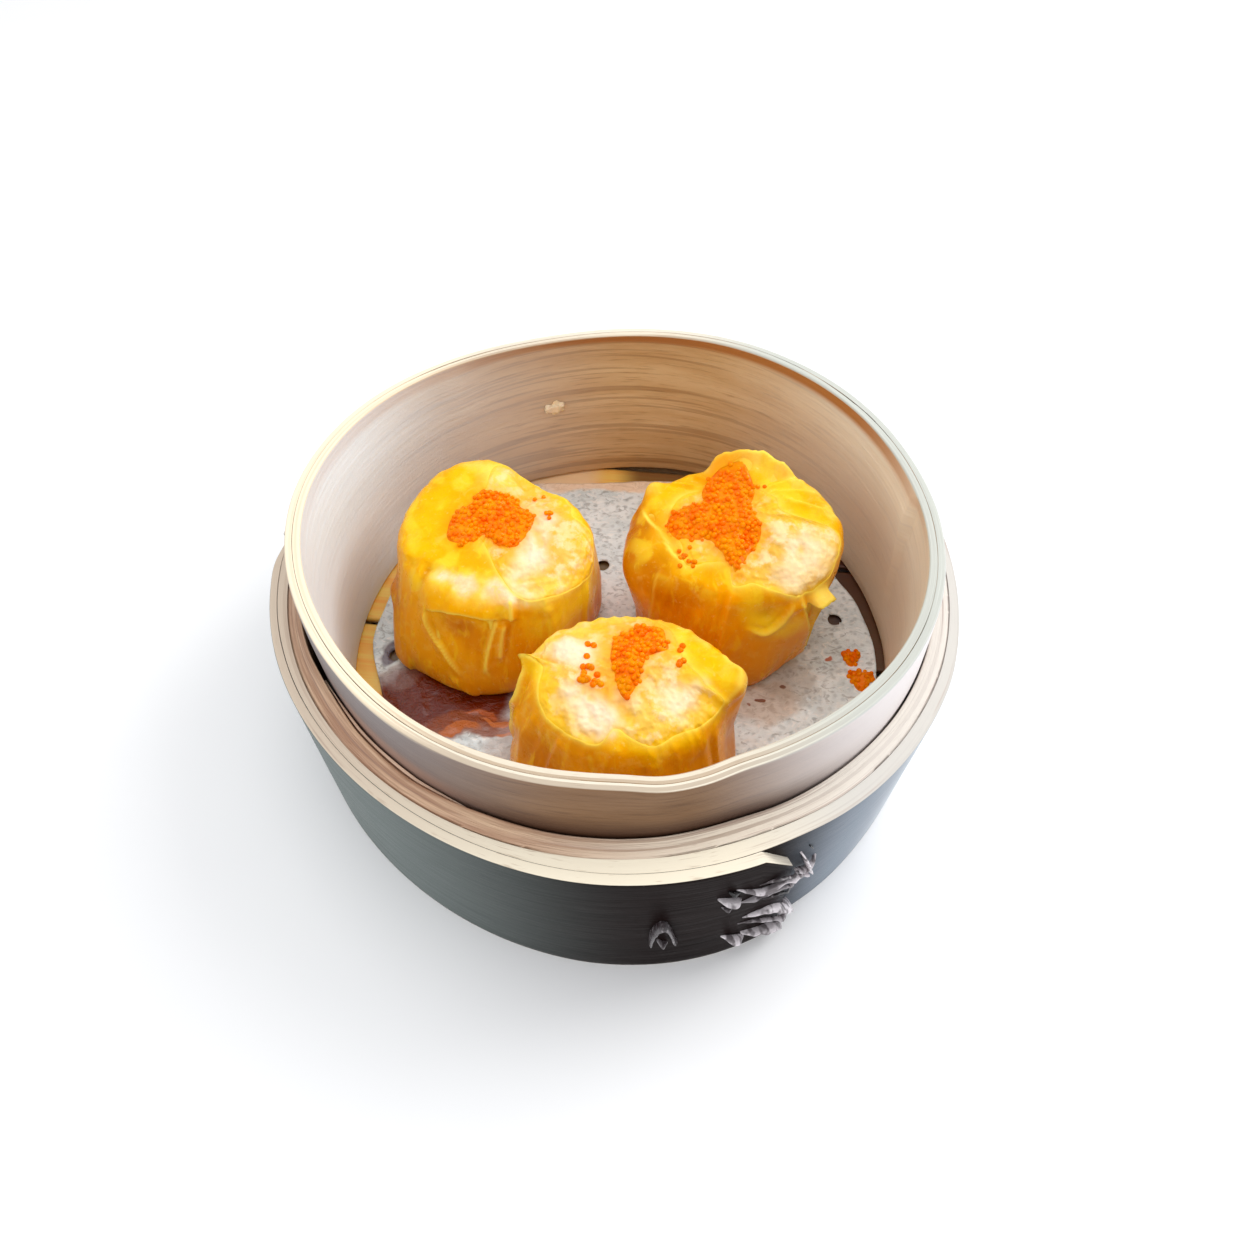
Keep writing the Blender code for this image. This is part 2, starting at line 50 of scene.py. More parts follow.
EYE_DISTANCE = 0.19284
EYE_ELEVATION = math.radians(46.27)
HEAD_TILT = math.radians(-2.41)
LENS = 26.563                      # millimetres, on a sensor 36 mm wide
SENSOR = 36.0
EYE_SHIFT = (0.0146, -0.0982)      # how far the middle of the view lies from the basket's
NEAREST = 0.01                     # what is closer than this to the eye isn't seen
TABLE_SIZE = 6.0
ROOM_COLOUR = (0.97, 0.98, 1.0, 1.0)
ROOM_STRENGTH = 0.82
LIGHTS = (                         # name, place, size and power in watts
    ("window", (0.62, 0.34, 0.62), 0.55, 4.5),
    ("ceiling", (-0.10, 0.10, 1.10), 0.80, 3.0),
    ("front_fill", (-0.45, -0.70, 0.50), 0.60, 0.9),
)


def srgb(red, green, blue):
    """A colour given as a screen shows it, 0 to 255, in the linear values that shaders take."""
    def linear(value):
        share = value / 255
        return share / 12.92 if share <= 0.04045 else ((share + 0.055) / 1.055) ** 2.4

    return (linear(red), linear(green), linear(blue), 1.0)


def new_finish(name, **sockets):
    """A finish, with the shader values that are the same all over it."""
    finish = bpy.data.materials.new(name)
    finish.use_nodes = True
    shader = finish.node_tree.nodes["Principled BSDF"]
    for socket, value in sockets.items():
        shader.inputs[socket.replace("_", " ")].default_value = value
    return finish


def step(tree, kind, inputs, out=0, **settings):
    """Adds a node to a tree, sets or links its inputs, and returns one of its outputs."""
    made = tree.nodes.new(kind)
    for setting, value in settings.items():
        setattr(made, setting, value)
    for socket, value in inputs.items():
        if isinstance(value, bpy.types.NodeSocket):
            tree.links.new(value, made.inputs[socket])
        else:
            made.inputs[socket].default_value = value
    return made.outputs[out]


def tree_of(inputs):
    return next(value.id_data for value in inputs.values() if isinstance(value, bpy.types.NodeSocket))


def node(kind, inputs, out=0, **settings):
    """Adds a shader or maths node to the tree that its inputs come from."""
    return step(tree_of(inputs), "ShaderNode" + kind, inputs, out, **settings)


def object_place(finish):
    return step(finish.node_tree, "ShaderNodeTexCoord", {}, out="Object")


def cloud(vector, scale, detail=3.0, rough=0.5, warp=0.0):
    """A soft noise between 0 and 1."""
    return node("TexNoise", {"Vector": vector, "Scale": scale, "Detail": detail, "Roughness": rough,
                             "Distortion": warp})


def tint(factor, under, over):
    """One colour laid over another by a factor; a plain one is given as a screen shows it."""
    under, over = (srgb(*colour) if isinstance(colour, tuple) else colour for colour in (under, over))
    return node("Mix", {0: factor, 6: under, 7: over}, out=2, data_type="RGBA")


def paint(finish, colour, roughness=None, height=None, depth=0.0001):
    """Feeds the patterns to the shader: its colour, its roughness, and a height in shares of a depth."""
    links = finish.node_tree.links
    shader = finish.node_tree.nodes["Principled BSDF"]
    links.new(colour, shader.inputs["Base Color"])
    if roughness is not None:
        links.new(roughness, shader.inputs["Roughness"])
    if height is not None:
        bump = node("Bump", {"Height": height, "Strength": 1.0, "Distance": depth})
        links.new(bump, shader.inputs["Normal"])
    return finish


bpy.context.scene.view_settings.view_transform = "Standard"
world = bpy.data.worlds.new("room")
world.use_nodes = True
walls = world.node_tree.nodes["Background"].inputs
walls["Color"].default_value = ROOM_COLOUR
walls["Strength"].default_value = ROOM_STRENGTH
bpy.context.scene.world = world

basket_middle = Vector((0.0, 0.0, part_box("hoop_inner_ply")[1].z))
for name, place, size, power in LIGHTS:
    lamp = bpy.data.lights.new(name, "AREA")
    lamp.size = size
    lamp.energy = power
    lamp_object = bpy.data.objects.new(name, lamp)
    lamp_object.location = place
    lamp_object.rotation_euler = (basket_middle - Vector(place)).to_track_quat("-Z", "Y").to_euler()
    bpy.context.scene.collection.objects.link(lamp_object)

right = Vector((1.0, 0.0, 0.0))
back = Vector((0.0, -math.cos(EYE_ELEVATION), math.sin(EYE_ELEVATION)))
up = back.cross(right)
camera = bpy.data.cameras.new("eye")
camera.lens = LENS
camera.sensor_width = SENSOR
camera.shift_x, camera.shift_y = EYE_SHIFT
camera.clip_start = NEAREST
eye = bpy.data.objects.new("eye", camera)
turned_right = right * math.cos(HEAD_TILT) + up * math.sin(HEAD_TILT)
eye.matrix_world = (Matrix.Translation(basket_middle + back * EYE_DISTANCE)
                    @ Matrix((turned_right, back.cross(turned_right), back)).transposed().to_4x4())
bpy.context.scene.collection.objects.link(eye)
bpy.context.scene.camera = eye

half = TABLE_SIZE / 2
table_mesh = bpy.data.meshes.new("table")
table_corners = [(-half, -half, 0), (half, -half, 0), (half, half, 0), (-half, half, 0)]
table_mesh.from_pydata(table_corners, [], [(0, 1, 2, 3)])
table = bpy.data.objects.new("table", table_mesh)
bpy.context.scene.collection.objects.link(table)
pale_top = new_finish("table_top", Roughness=0.6)
mottle = cloud(object_place(pale_top), 9.0)
paint(pale_top, tint(mottle, (240, 240, 241), (248, 248, 248)))
table_mesh.materials.append(pale_top)

# ---- The tall hoop ------------------------------------------------------------------------------------
# Two thin strips of split bamboo, shaved, wetted and bent into hoops one inside the other. Their faces keep
# the fine lines of the fibre, and the cut rim is pale. Inside, a band under the rim is darker orange-brown,
# and the wall is painted paler at the left and right, where light falls on it. Outside, the brown face is
# partly painted shade at the front, turned from the light, and greyer at the left; it is painted near-white
# at the right and paler low at the left, where light falls, and painted dark as shade down in its gap with
# the band.

PLY_STEP = 1.2                     # degrees between the columns of points
INNER_PITCH = 0.00028              # between the rows of points on the face that is looked into
OUTER_PITCH = 0.0006
HIDDEN_PITCH = 0.0040
RIM_ROUND = 0.00045
SEAM_ROUND = 0.00008               # at the edge where two plies touch
FIBRE_DEPTH = 0.00005
HOOP_JOINT = 0.00001               # left open on each side between the hoop's two plies
EDGE_STEPS = 4
RIM_STEPS = 9                      # points across a ply's cut rim
RIM_WAVE = 0.0002                  # how much the hoop's rim goes up and down


def point_value(finish, name, out="Fac"):
    """What the points of a piece carry under a name."""
    return step(finish.node_tree, "ShaderNodeAttribute", {}, out, attribute_name=name)


def numbers_of(vector):
    """A vector's three numbers."""
    return list(node("SeparateXYZ", {0: vector}).node.outputs)


def scaled(vector, x, y, z):
    return node("VectorMath", {0: vector, 1: (x, y, z)}, operation="MULTIPLY")


def remap(value, low, high, to_low=0.0, to_high=1.0):
    """A smooth step between two numbers while a value goes from low to high."""
    return node("MapRange", {"Value": value, "From Min": low, "From Max": high, "To Min": to_low,
                             "To Max": to_high}, interpolation_type="SMOOTHSTEP")


def reckon(first, second, operation="ADD"):
    """One number worked out from two."""
    return node("Math", {0: first, 1: second}, operation=operation)


def times(value, other):
    return reckon(value, other, "MULTIPLY")


def smooth_through(places, values, wanted, period=None):
    """Values at the wanted places of a smooth curve through the given ones."""
    order = np.argsort(places)
    places, values = np.asarray(places, float)[order], np.asarray(values, float)[order]
    wanted = np.asarray(wanted, float)
    if period:
        places = np.concatenate([places[-2:] - period, places, places[:2] + period])
        values = np.concatenate([values[-2:], values, values[:2]])
        wanted = (wanted - places[2]) % period + places[2]
    else:
        places = np.concatenate([[2 * places[0] - places[1]], places, [2 * places[-1] - places[-2]]])
        values = np.concatenate([values[:1], values, values[-1:]])
        wanted = np.clip(wanted, places[1], places[-2])
    slopes = np.zeros(len(places))
    slopes[1:-1] = (values[2:] - values[:-2]) / (places[2:] - places[:-2])
    i = np.clip(np.searchsorted(places, wanted, side="right") - 1, 1, len(places) - 3)
    span = places[i + 1] - places[i]
    t = (wanted - places[i]) / span
    rise = values[i + 1] - values[i]
    bend = (slopes[i] * span - rise) * (1 - t) - (slopes[i + 1] * span - rise) * t
    return values[i] + rise * t + bend * t * (1 - t)


def corner_points(node_name):
    """The corner points of a node of the frame, in metres."""
    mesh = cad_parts[node_name].data
    points = np.empty(3 * len(mesh.vertices))
    mesh.vertices.foreach_get("co", points)
    return points.reshape(-1, 3)


def outline(node_name, height, side):
    """The radius of a bent ply's face at a height, as a smooth function of the angle in degrees."""
    points = corner_points(node_name)
    points = points[abs(points[:, 2] - height) < 0.0001]
    angles = np.round(np.degrees(np.arctan2(points[:, 1], points[:, 0])) % 360, 1) % 360
    radii = np.hypot(points[:, 0], points[:, 1])
    columns = np.unique(angles)
    faces = [side(radii[angles == column]) for column in columns]
    whole = columns[-1] - columns[0] > 340
    return lambda angle: smooth_through(columns, faces, np.asarray(angle) % 360, 360 if whole else None)


def noise_over(points, seed=0.0):
    """Smooth noise, about -1 to 1, at every point of an array; one unit is one lump."""
    flat = (points.reshape(-1, 3) + seed).tolist()
    return np.array([noise.noise(point) for point in flat]).reshape(points.shape[:-1])


def grid_faces(rows, columns, closed_rows=False, closed_columns=True):
    """The four-sided faces of a grid of points, which face out where rows go up and columns go round left."""
    row = np.arange(rows if closed_rows else rows - 1)[:, None]
    column = np.arange(columns if closed_columns else columns - 1)[None, :]
    next_row, next_column = (row + 1) % rows, (column + 1) % columns
    corners = [row * columns + column, row * columns + next_column, next_row * columns + next_column,
               next_row * columns + column]
    return np.stack(np.broadcast_arrays(*corners), -1).reshape(-1, 4)


def carry(mesh, tables):
    """Gives a mesh's points the values that its finish or its tree reads, by name."""
    for key, values in tables.items():
        values = np.asarray(values, float)
        kind, field = ("FLOAT_VECTOR", "vector") if values.shape[-1] == 3 else ("FLOAT", "value")
        mesh.attributes.new(key, kind, "POINT").data.foreach_set(field, values.ravel())


def make_piece(name, points, faces, finish, tables):
    """A piece from its points and faces, with the values that its finish reads at each point."""
    mesh = bpy.data.meshes.new(name)
    mesh.from_pydata(np.asarray(points).reshape(-1, 3).tolist(), [], [list(face) for face in faces])
    mesh.shade_smooth()
    carry(mesh, tables)
    mesh.materials.append(finish)
    piece = bpy.data.objects.new(name, mesh)
    bpy.context.scene.collection.objects.link(piece)
    return piece


def settle(piece, slot, *nodes):
    """Says what a finished piece is part of: its body and the nodes it stands for; its kind of finish is not
    used.
    """
    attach(piece, "root")
    if nodes:
        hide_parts(*nodes)


def ply_section(bottom, top, rounds, outer_pitch, inner_pitch):
    """The loop round a ply's section: each point's share of the way in, inset, height, and way out and up."""
    outer, inner = rounds
    arc = [math.pi / 2 * i / EDGE_STEPS for i in range(1, EDGE_STEPS)]
    rise = np.linspace(bottom + outer, top - outer, max(int((top - bottom) / outer_pitch), 2))
    fall = np.linspace(top - inner, bottom + inner, max(int((top - bottom) / inner_pitch), 2))
    loop = [(0.0, 0.0, z, 1.0, 0.0) for z in rise]
    loop += [(0.0, outer * (1 - math.cos(a)), top - outer * (1 - math.sin(a)), math.cos(a), math.sin(a))
             for a in arc]
    loop += [(share, (1 - share) * outer + share * inner, top, 0.0, 1.0)
             for share in np.linspace(0.0, 1.0, RIM_STEPS)]
    loop += [(1.0, inner * (1 - math.sin(a)), top - inner * (1 - math.cos(a)), -math.sin(a), math.cos(a))
             for a in arc]
    loop += [(1.0, 0.0, z, -1.0, 0.0) for z in fall]
    loop += [(1.0, inner, bottom, 0.0, -1.0), (0.0, outer, bottom, 0.0, -1.0)]
    return np.array(loop)


def bent_ply(name, outer, inner, bottom, top, finish, span=(0.0, 360.0), pitches=(OUTER_PITCH, INNER_PITCH),
             fibre=FIBRE_DEPTH, rounds=(RIM_ROUND, RIM_ROUND), top_at=None, seed=0.0):
    """A bent strip between two faces, each a radius by angle and height, with the relief of its fibre."""
    whole = span[1] - span[0] >= 360.0
    count = round((span[1] - span[0]) / PLY_STEP)
    angle = np.linspace(*span, count, endpoint=not whole)[None, :]
    loop = ply_section(bottom, top, rounds, *pitches)
    share, inset, height, out, lift = (loop[:, i:i + 1] for i in range(5))
    if top_at is not None:
        height = bottom + (height - bottom) * (top_at(angle) - bottom) / (top - bottom)
    height = height + 0 * angle
    radius = (1 - share) * (outer(angle, height) - inset) + share * (inner(angle, height) + inset)
    turn = np.radians(angle)
    flat = 0 * radius
    steps = np.hypot(np.diff(radius[:, 0], prepend=radius[0, 0]), np.diff(height[:, 0], prepend=height[0, 0]))
    grain = np.stack([np.cos(turn) + flat, np.sin(turn) + flat, np.cumsum(steps)[:, None] + flat], -1)
    lines = noise_over(grain * (2.5, 2.5, 1500.0), seed)
    lines = lines + 0.6 * noise_over(grain * (7.0, 7.0, 3300.0), seed + 9)
    swells = noise_over(grain * (3.0, 3.0, 130.0), seed + 5)
    relief = fibre * (lines + 1.2 * swells - 1.0)
    radius = radius + relief * out
    height = np.maximum(height + relief * lift, bottom)
    points = np.stack([radius * np.cos(turn), radius * np.sin(turn), height], -1)
    rows, columns = radius.shape
    faces = grid_faces(rows, columns, closed_rows=True, closed_columns=whole).tolist()
    if not whole:
        first = [row * columns for row in range(rows)]
        faces += [first, [corner + columns - 1 for corner in reversed(first)]]
    face_marks = {"grain": grain, "skin": (out > 0.7) + flat, "rim": np.clip(lift * 1.5, 0, 1) + flat}
    return make_piece(name, points, faces, finish, face_marks)


def bamboo(name, pale, deep, line, rim, skin=None, gloss=0.45, coat=0.12, gleam=0.5):
    """Split bamboo: long streaks of two tones, dark fibre lines, a pale cut rim and its own outer face."""
    finish = new_finish(name, Coat_Weight=coat, Coat_Roughness=0.35, Specular_IOR_Level=gleam)
    grain = point_value(finish, "grain", "Vector")
    broad = cloud(scaled(grain, 1.6, 1.6, 170.0), 1.0, 4.0, 0.6)
    fine = cloud(scaled(grain, 5.0, 5.0, 1500.0), 1.0, 3.0, 0.6)
    hair = cloud(scaled(grain, 16.0, 16.0, 5200.0), 1.0, 2.0)
    colour = tint(remap(broad, 0.30, 0.70), pale, deep)
    colour = tint(remap(fine, 0.52, 0.72, 0.0, 0.55), colour, line)
    threads = cloud(scaled(grain, 0.8, 0.8, 640.0), 1.0, 1.5, 0.5)
    colour = tint(remap(threads, 0.57, 0.63, 0.0, 0.45), colour, line)
    on_rim = point_value(finish, "rim")
    rings = cloud(scaled(grain, 0.7, 0.7, 1150.0), 1.0, 1.5, 0.5)
    cut = tint(remap(rings, 0.54, 0.60, 0.0, 0.5), rim, line)
    colour = tint(on_rim, colour, cut)
    colour = tint(remap(hair, 0.60, 0.75, 0.0, 0.35), colour, line)
    if skin is not None:
        on_skin = point_value(finish, "skin")
        shade = tint(remap(broad, 0.25, 0.75), skin[0], skin[1])
        shade = tint(remap(fine, 0.50, 0.75, 0.0, 0.5), shade, skin[2])
        colour = tint(on_skin, colour, shade)
    return finish, colour, remap(fine, 0.2, 0.8, gloss - 0.08, gloss + 0.12), reckon(fine, hair), grain


def rim_tones_by_side(colour, on_rim, cosine):
    """The hoop's cut rim, greyer at the right and creamier at the left."""
    colour = tint(times(on_rim, remap(cosine, 0.2, 0.7, 0.0, 0.8)), colour, (188, 194, 188))
    return tint(times(on_rim, remap(cosine, -0.4, -0.8, 0.0, 0.7)), colour, (255, 236, 204))


rim_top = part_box("hoop_inner_ply")[1].z
hoop_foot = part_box("hoop_inner_ply")[0].z
band_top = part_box("band_inner_ply")[1].z
hoop_levels = sorted(set(np.round(corner_points("hoop_outer_ply")[:, 2], 4)))
hoop_rings = [outline("hoop_outer_ply", level, max) for level in hoop_levels[:4]]
inside_rings = [outline("hoop_inner_ply", level, min) for level in hoop_levels[:3]]
hoop_wall = float(np.mean(hoop_rings[0](np.arange(0, 360, 6)) - inside_rings[0](np.arange(0, 360, 6))))
half_wall = hoop_wall / 2


def hoop_face(angle, height):
    """The tall hoop's outside: upright inside the band, then curving in or out to its rim."""
    foot, band, middle, rim = (ring(angle) for ring in hoop_rings)
    low, half_way, high = hoop_levels[1], hoop_levels[2], hoop_levels[3]
    t = np.clip((height - low) / (high - low), 0.0, 1.0)
    peak = (half_way - low) / (high - low)
    sag = (middle - band - (rim - band) * peak) / (peak * (1 - peak))
    above = band + (rim - band) * t + sag * t * (1 - t)
    below = foot + (band - foot) * np.clip((height - hoop_levels[0]) / (low - hoop_levels[0]), 0.0, 1.0)
    return np.where(height > low, above, below)


def rim_height(angle):
    turn = np.radians(angle)
    wobble = noise_over(np.stack([2.5 * np.cos(turn), 2.5 * np.sin(turn), 0 * turn], -1), 4.0)
    return rim_top + RIM_WAVE * (wobble - 1)


finish, colour, rough, height, grain = bamboo(
    "bamboo_inside", (218, 184, 134), (200, 160, 106), (146, 104, 56), (224, 212, 190), gloss=0.5, coat=0.0)
cosine, sine, _ = numbers_of(grain)
level = numbers_of(object_place(finish))[2]
on_rim = point_value(finish, "rim")
on_wall = remap(on_rim, 0.0, 0.6, 1.0, 0.0)
# painted light: the inside wall is made pale and cool at the left and pale at the right, where the light
# falls on it, less so towards the back
painted_light_on_wall = times(on_wall, remap(sine, 0.35, 0.95, 1.0, 0.6))
colour = tint(times(painted_light_on_wall, remap(cosine, 0.15, -0.80, 0.0, 0.9)), colour, (234, 244, 252))
colour = tint(times(painted_light_on_wall, remap(cosine, 0.40, 0.95, 0.0, 0.75)), colour, (242, 234, 216))
# a darker orange-brown band along the top of the inside wall, under the rim, at the back and right
band_under_rim = times(remap(level, rim_top - 0.0040, rim_top - 0.0022),
                times(remap(sine, -0.35, 0.5), remap(cosine, -0.75, 0.1, 0.25, 1.0)))
colour = tint(times(band_under_rim, on_wall), colour, (176, 112, 48))
colour = rim_tones_by_side(colour, on_rim, cosine)
paint(finish, colour, rough, height, depth=0.00006)
inner_hoop = bent_ply("tall_hoop_inside", lambda a, z: hoop_face(a, z) - half_wall - HOOP_JOINT,
                      lambda a, z: hoop_face(a, z) - hoop_wall, hoop_foot, rim_top, finish,
                      pitches=(HIDDEN_PITCH, INNER_PITCH), rounds=(SEAM_ROUND, RIM_ROUND),
                      top_at=rim_height, seed=2.0)
settle(inner_hoop, "bamboo", "hoop_inner_ply")

# the outside's brown skin colours stand partly for the cane's skin and partly for painted shade on the front,
# which faces away from the light
finish, colour, rough, height, grain = bamboo(
    "bamboo_outside", (214, 192, 160), (190, 158, 120), (140, 108, 76), (228, 218, 198),
    skin=((142, 106, 72), (116, 80, 46), (76, 48, 26)), gloss=0.46, coat=0.0)
cosine, sine, _ = numbers_of(grain)
level = numbers_of(object_place(finish))[2]
on_skin = point_value(finish, "skin")
in_front = times(on_skin, remap(sine, 0.9, 0.10))
# the skin is greyer at the left; painted light: it is made near-white at the right, where the light falls on
# it
colour = tint(times(in_front, remap(cosine, -0.10, -0.75, 0.0, 0.85)), colour, (136, 134, 138))
colour = tint(times(in_front, remap(cosine, 0.15, 0.80, 0.0, 0.94)), colour, (252, 246, 246))
# painted light: the skin is made paler low down at the left, just above the band, where light reaches it
painted_light_low_left = times(remap(level, band_top + 0.0050, band_top + 0.0010),
                 times(remap(cosine, -0.30, -0.55), remap(cosine, -0.92, -0.75)))
colour = tint(times(times(in_front, painted_light_low_left), 0.7), colour, (196, 160, 142))
# painted shade: the skin is darkened towards the band's top, where the hoop goes down into the gap inside the
# band, little at the right and at the far left
painted_gap_shade = times(on_skin, times(remap(level, band_top + 0.0065, band_top - 0.0005),
                             remap(cosine, 0.72, 0.32, 0.0, 0.85)))
painted_gap_shade = times(painted_gap_shade, remap(cosine, -0.75, -0.15, 0.1, 1.0))
colour = tint(painted_gap_shade, colour, (70, 44, 32))
colour = rim_tones_by_side(colour, point_value(finish, "rim"), cosine)
paint(finish, colour, rough, height, depth=0.00006)
outer_hoop = bent_ply("tall_hoop_outside", hoop_face, lambda a, z: hoop_face(a, z) - half_wall + HOOP_JOINT,
                      hoop_foot, rim_top, finish, pitches=(OUTER_PITCH, HIDDEN_PITCH),
                      rounds=(RIM_ROUND, SEAM_ROUND), top_at=rim_height, seed=7.0)
settle(outer_hoop, "bamboo", "hoop_outer_ply")

# ---- The band round the foot --------------------------------------------------------------------------
# Three more plies grip the tall hoop: a broad pale core, a middle ply, and an outermost strip shaved thin at
# its start and cut off square at the front right. The outside, the cane's skin, is coloured near black and
# satiny, with a painted sheen at the left and a painted reflection at the right. The core is peach-brown at
# the left and front, partly as painted shade.


def straight_face(node_name, side):
    """A band face that is straight from its foot to its top."""
    low, high = outline(node_name, 0.0, side), outline(node_name, band_top, side)
    return lambda angle, z: low(angle) + (high(angle) - low(angle)) * z / band_top


core_in, core_out = straight_face("band_inner_ply", min), straight_face("band_inner_ply", max)
middle_in, middle_out = straight_face("band_middle_ply", min), straight_face("band_middle_ply", max)

PLY_JOINT = 0.00017                # closing on each side of the gap between two plies
DARK_SKIN = ((32, 23, 22), (22, 14, 13), (10, 6, 5))
HOOP_CLEARANCE = 0.00028           # between the hoop and the core
CORE_DROP = 0.0002                 # how far the core's top lies under the outermost strip's
MIDDLE_DROP = 0.0001               # and how far the middle ply's does
BAND_PITCH = 0.0012                # between the rows of points on the band's faces that show
STRIP_PITCH = 0.0010
BAND_FIBRE = 0.00004
CORE_ROUND, MIDDLE_ROUND, STRIP_ROUND = 0.0004, 0.00018, 0.00022
SLACK_ANGLE, SLACK_SPREAD, SLACK = 200, 10, 0.0006     # where the core stands off the hoop, and how far
PACKING_WALL = 0.00075
PACKING_LOOSE = 0.00012
PACKING_RUN = 14.0                 # degrees in which the packing strip thins out to its ends
packing = corner_points("packing_strip")
packing_angles = np.degrees(np.arctan2(packing[:, 1], packing[:, 0])) % 360
packing_start, packing_end = packing_angles.min(), packing_angles.max()


def packed(angle, run):
    """1 along the packing strip, falling to 0 at its ends within a run of degrees."""
    return np.clip(np.minimum(angle - packing_start, packing_end - angle) / run, 0.0, 1.0)


def core_inside(angle, z):
    """The core's inside, which follows the hoop closely but where the loose strip is pushed in between."""
    angle = np.asarray(angle) % 360
    slack = SLACK * np.exp(-((angle - SLACK_ANGLE) / SLACK_SPREAD) ** 2)
    slit = (PACKING_WALL + PACKING_LOOSE) * packed(angle, PACKING_RUN) + slack
    return np.minimum(core_in(angle, z), hoop_face(angle, z) + HOOP_CLEARANCE + slit)


finish, colour, rough, height, grain = bamboo(
    "bamboo_core", (214, 190, 160), (190, 156, 124), (140, 104, 78), (236, 222, 202), gloss=0.5)
cosine, sine, _ = numbers_of(grain)
# the core is coloured peach-brown at the left and front, partly its own tone and partly painted shade where
# the tall hoop shades it from the light
peach_and_shade_left_front = times(remap(cosine, 0.25, -0.35), remap(sine, 0.3, -0.3, 0.45, 1.0))
streak = cloud(scaled(grain, 2.2, 2.2, 620.0), 1.0, 4.0, 0.6)
peach = tint(remap(streak, 0.36, 0.62), (224, 186, 150), (176, 128, 96))
colour = tint(times(peach_and_shade_left_front, 0.9), colour, peach)
colour = tint(remap(cosine, 0.2, 0.7, 0.0, 0.75), colour, (216, 211, 204))
lines = cloud(scaled(grain, 1.2, 1.2, 1500.0), 1.0, 3.0, 0.6)
colour = tint(remap(lines, 0.56, 0.66, 0.0, 0.5), colour, (158, 124, 112))
paint(finish, colour, rough, height, depth=0.00010)
core = bent_ply("band_core", lambda a, z: core_out(a, z) + PLY_JOINT, core_inside, 0.0, band_top - CORE_DROP,
                finish, pitches=(HIDDEN_PITCH, BAND_PITCH), fibre=2 * BAND_FIBRE,
                rounds=(SEAM_ROUND, CORE_ROUND), seed=11.0)
settle(core, "bamboo", "band_inner_ply")

finish, colour, rough, height, grain = bamboo(
    "bamboo_band", (222, 200, 168), (200, 170, 136), (150, 116, 84), (240, 230, 208),
    skin=DARK_SKIN, gloss=0.34, coat=0.0, gleam=0.015)
cosine, sine, _ = numbers_of(grain)
on_skin = point_value(finish, "skin")
in_front = times(on_skin, remap(sine, 1.0, 0.10, 0.35, 1.0))
# painted sheen: the skin's front is made grey-green at the left; painted reflection: blue-grey to near-white
# at the right
colour = tint(times(in_front, remap(cosine, 0.05, -0.72)), colour, (112, 121, 119))
painted_reflection_right = tint(remap(cosine, 0.56, 0.92), (142, 152, 164), (232, 238, 244))
colour = tint(times(in_front, remap(cosine, 0.34, 0.60)), colour, painted_reflection_right)
on_top = remap(on_skin, 0.0, 0.5, 1.0, 0.0)
colour = tint(times(on_top, remap(cosine, -0.15, -0.9, 0.0, 0.8)), colour, (212, 192, 172))
colour = tint(times(on_top, remap(cosine, 0.2, 0.6, 0.0, 0.85)), colour, (202, 200, 196))
lines = cloud(scaled(grain, 1.2, 1.2, 1500.0), 1.0, 3.0, 0.6)
colour = tint(times(on_top, remap(lines, 0.58, 0.68, 0.0, 0.45)), colour, (168, 140, 126))
paint(finish, colour, rough, height, depth=0.00003)
middle = bent_ply("band_middle", middle_out, lambda a, z: middle_in(a, z) - PLY_JOINT, 0.0,
                  band_top - MIDDLE_DROP, finish, pitches=(BAND_PITCH, HIDDEN_PITCH), fibre=BAND_FIBRE,
                  rounds=(MIDDLE_ROUND, SEAM_ROUND), seed=15.0)
settle(middle, "dark_bamboo", "band_middle_ply")

strip = corner_points("band_outer_ply")
strip_angles = np.degrees(np.arctan2(strip[:, 1], strip[:, 0])) % 360
strip_start, strip_end = strip_angles.min(), strip_angles.max()
end_height = strip[strip_angles > strip_end - 0.5][:, 2].max()
corner_start = strip_angles[(strip[:, 2] > band_top - 0.001) & (strip_angles < strip_end - 0.5)].max()


def strip_height(angle):
    """The strip's top edge: level, then cut down across its last corner."""
    cut = np.clip((angle - corner_start) / (strip_end - corner_start), 0.0, 1.0)
    return band_top - (band_top - end_height) * cut


def strip_face(side):
    """The strip's face, from the columns of its full height, carried on to its cut end."""
    foot = outline("band_outer_ply", 0.0, side)
    top = outline("band_outer_ply", band_top, side)

    def face(angle, z):
        whole = np.minimum(angle, corner_start)
        return foot(angle) + (top(whole) - foot(whole)) * z / band_top

    return face


strip_in, strip_out = strip_face(min), strip_face(max)
outer_strip = bent_ply("band_strip", strip_out, lambda a, z: strip_in(a, z) - PLY_JOINT * 2, 0.0,
                       band_top, finish, span=(strip_start, strip_end), pitches=(STRIP_PITCH, HIDDEN_PITCH),
                       fibre=BAND_FIBRE, rounds=(STRIP_ROUND, SEAM_ROUND), top_at=strip_height, seed=19.0)
settle(outer_strip, "dark_bamboo", "band_outer_ply")
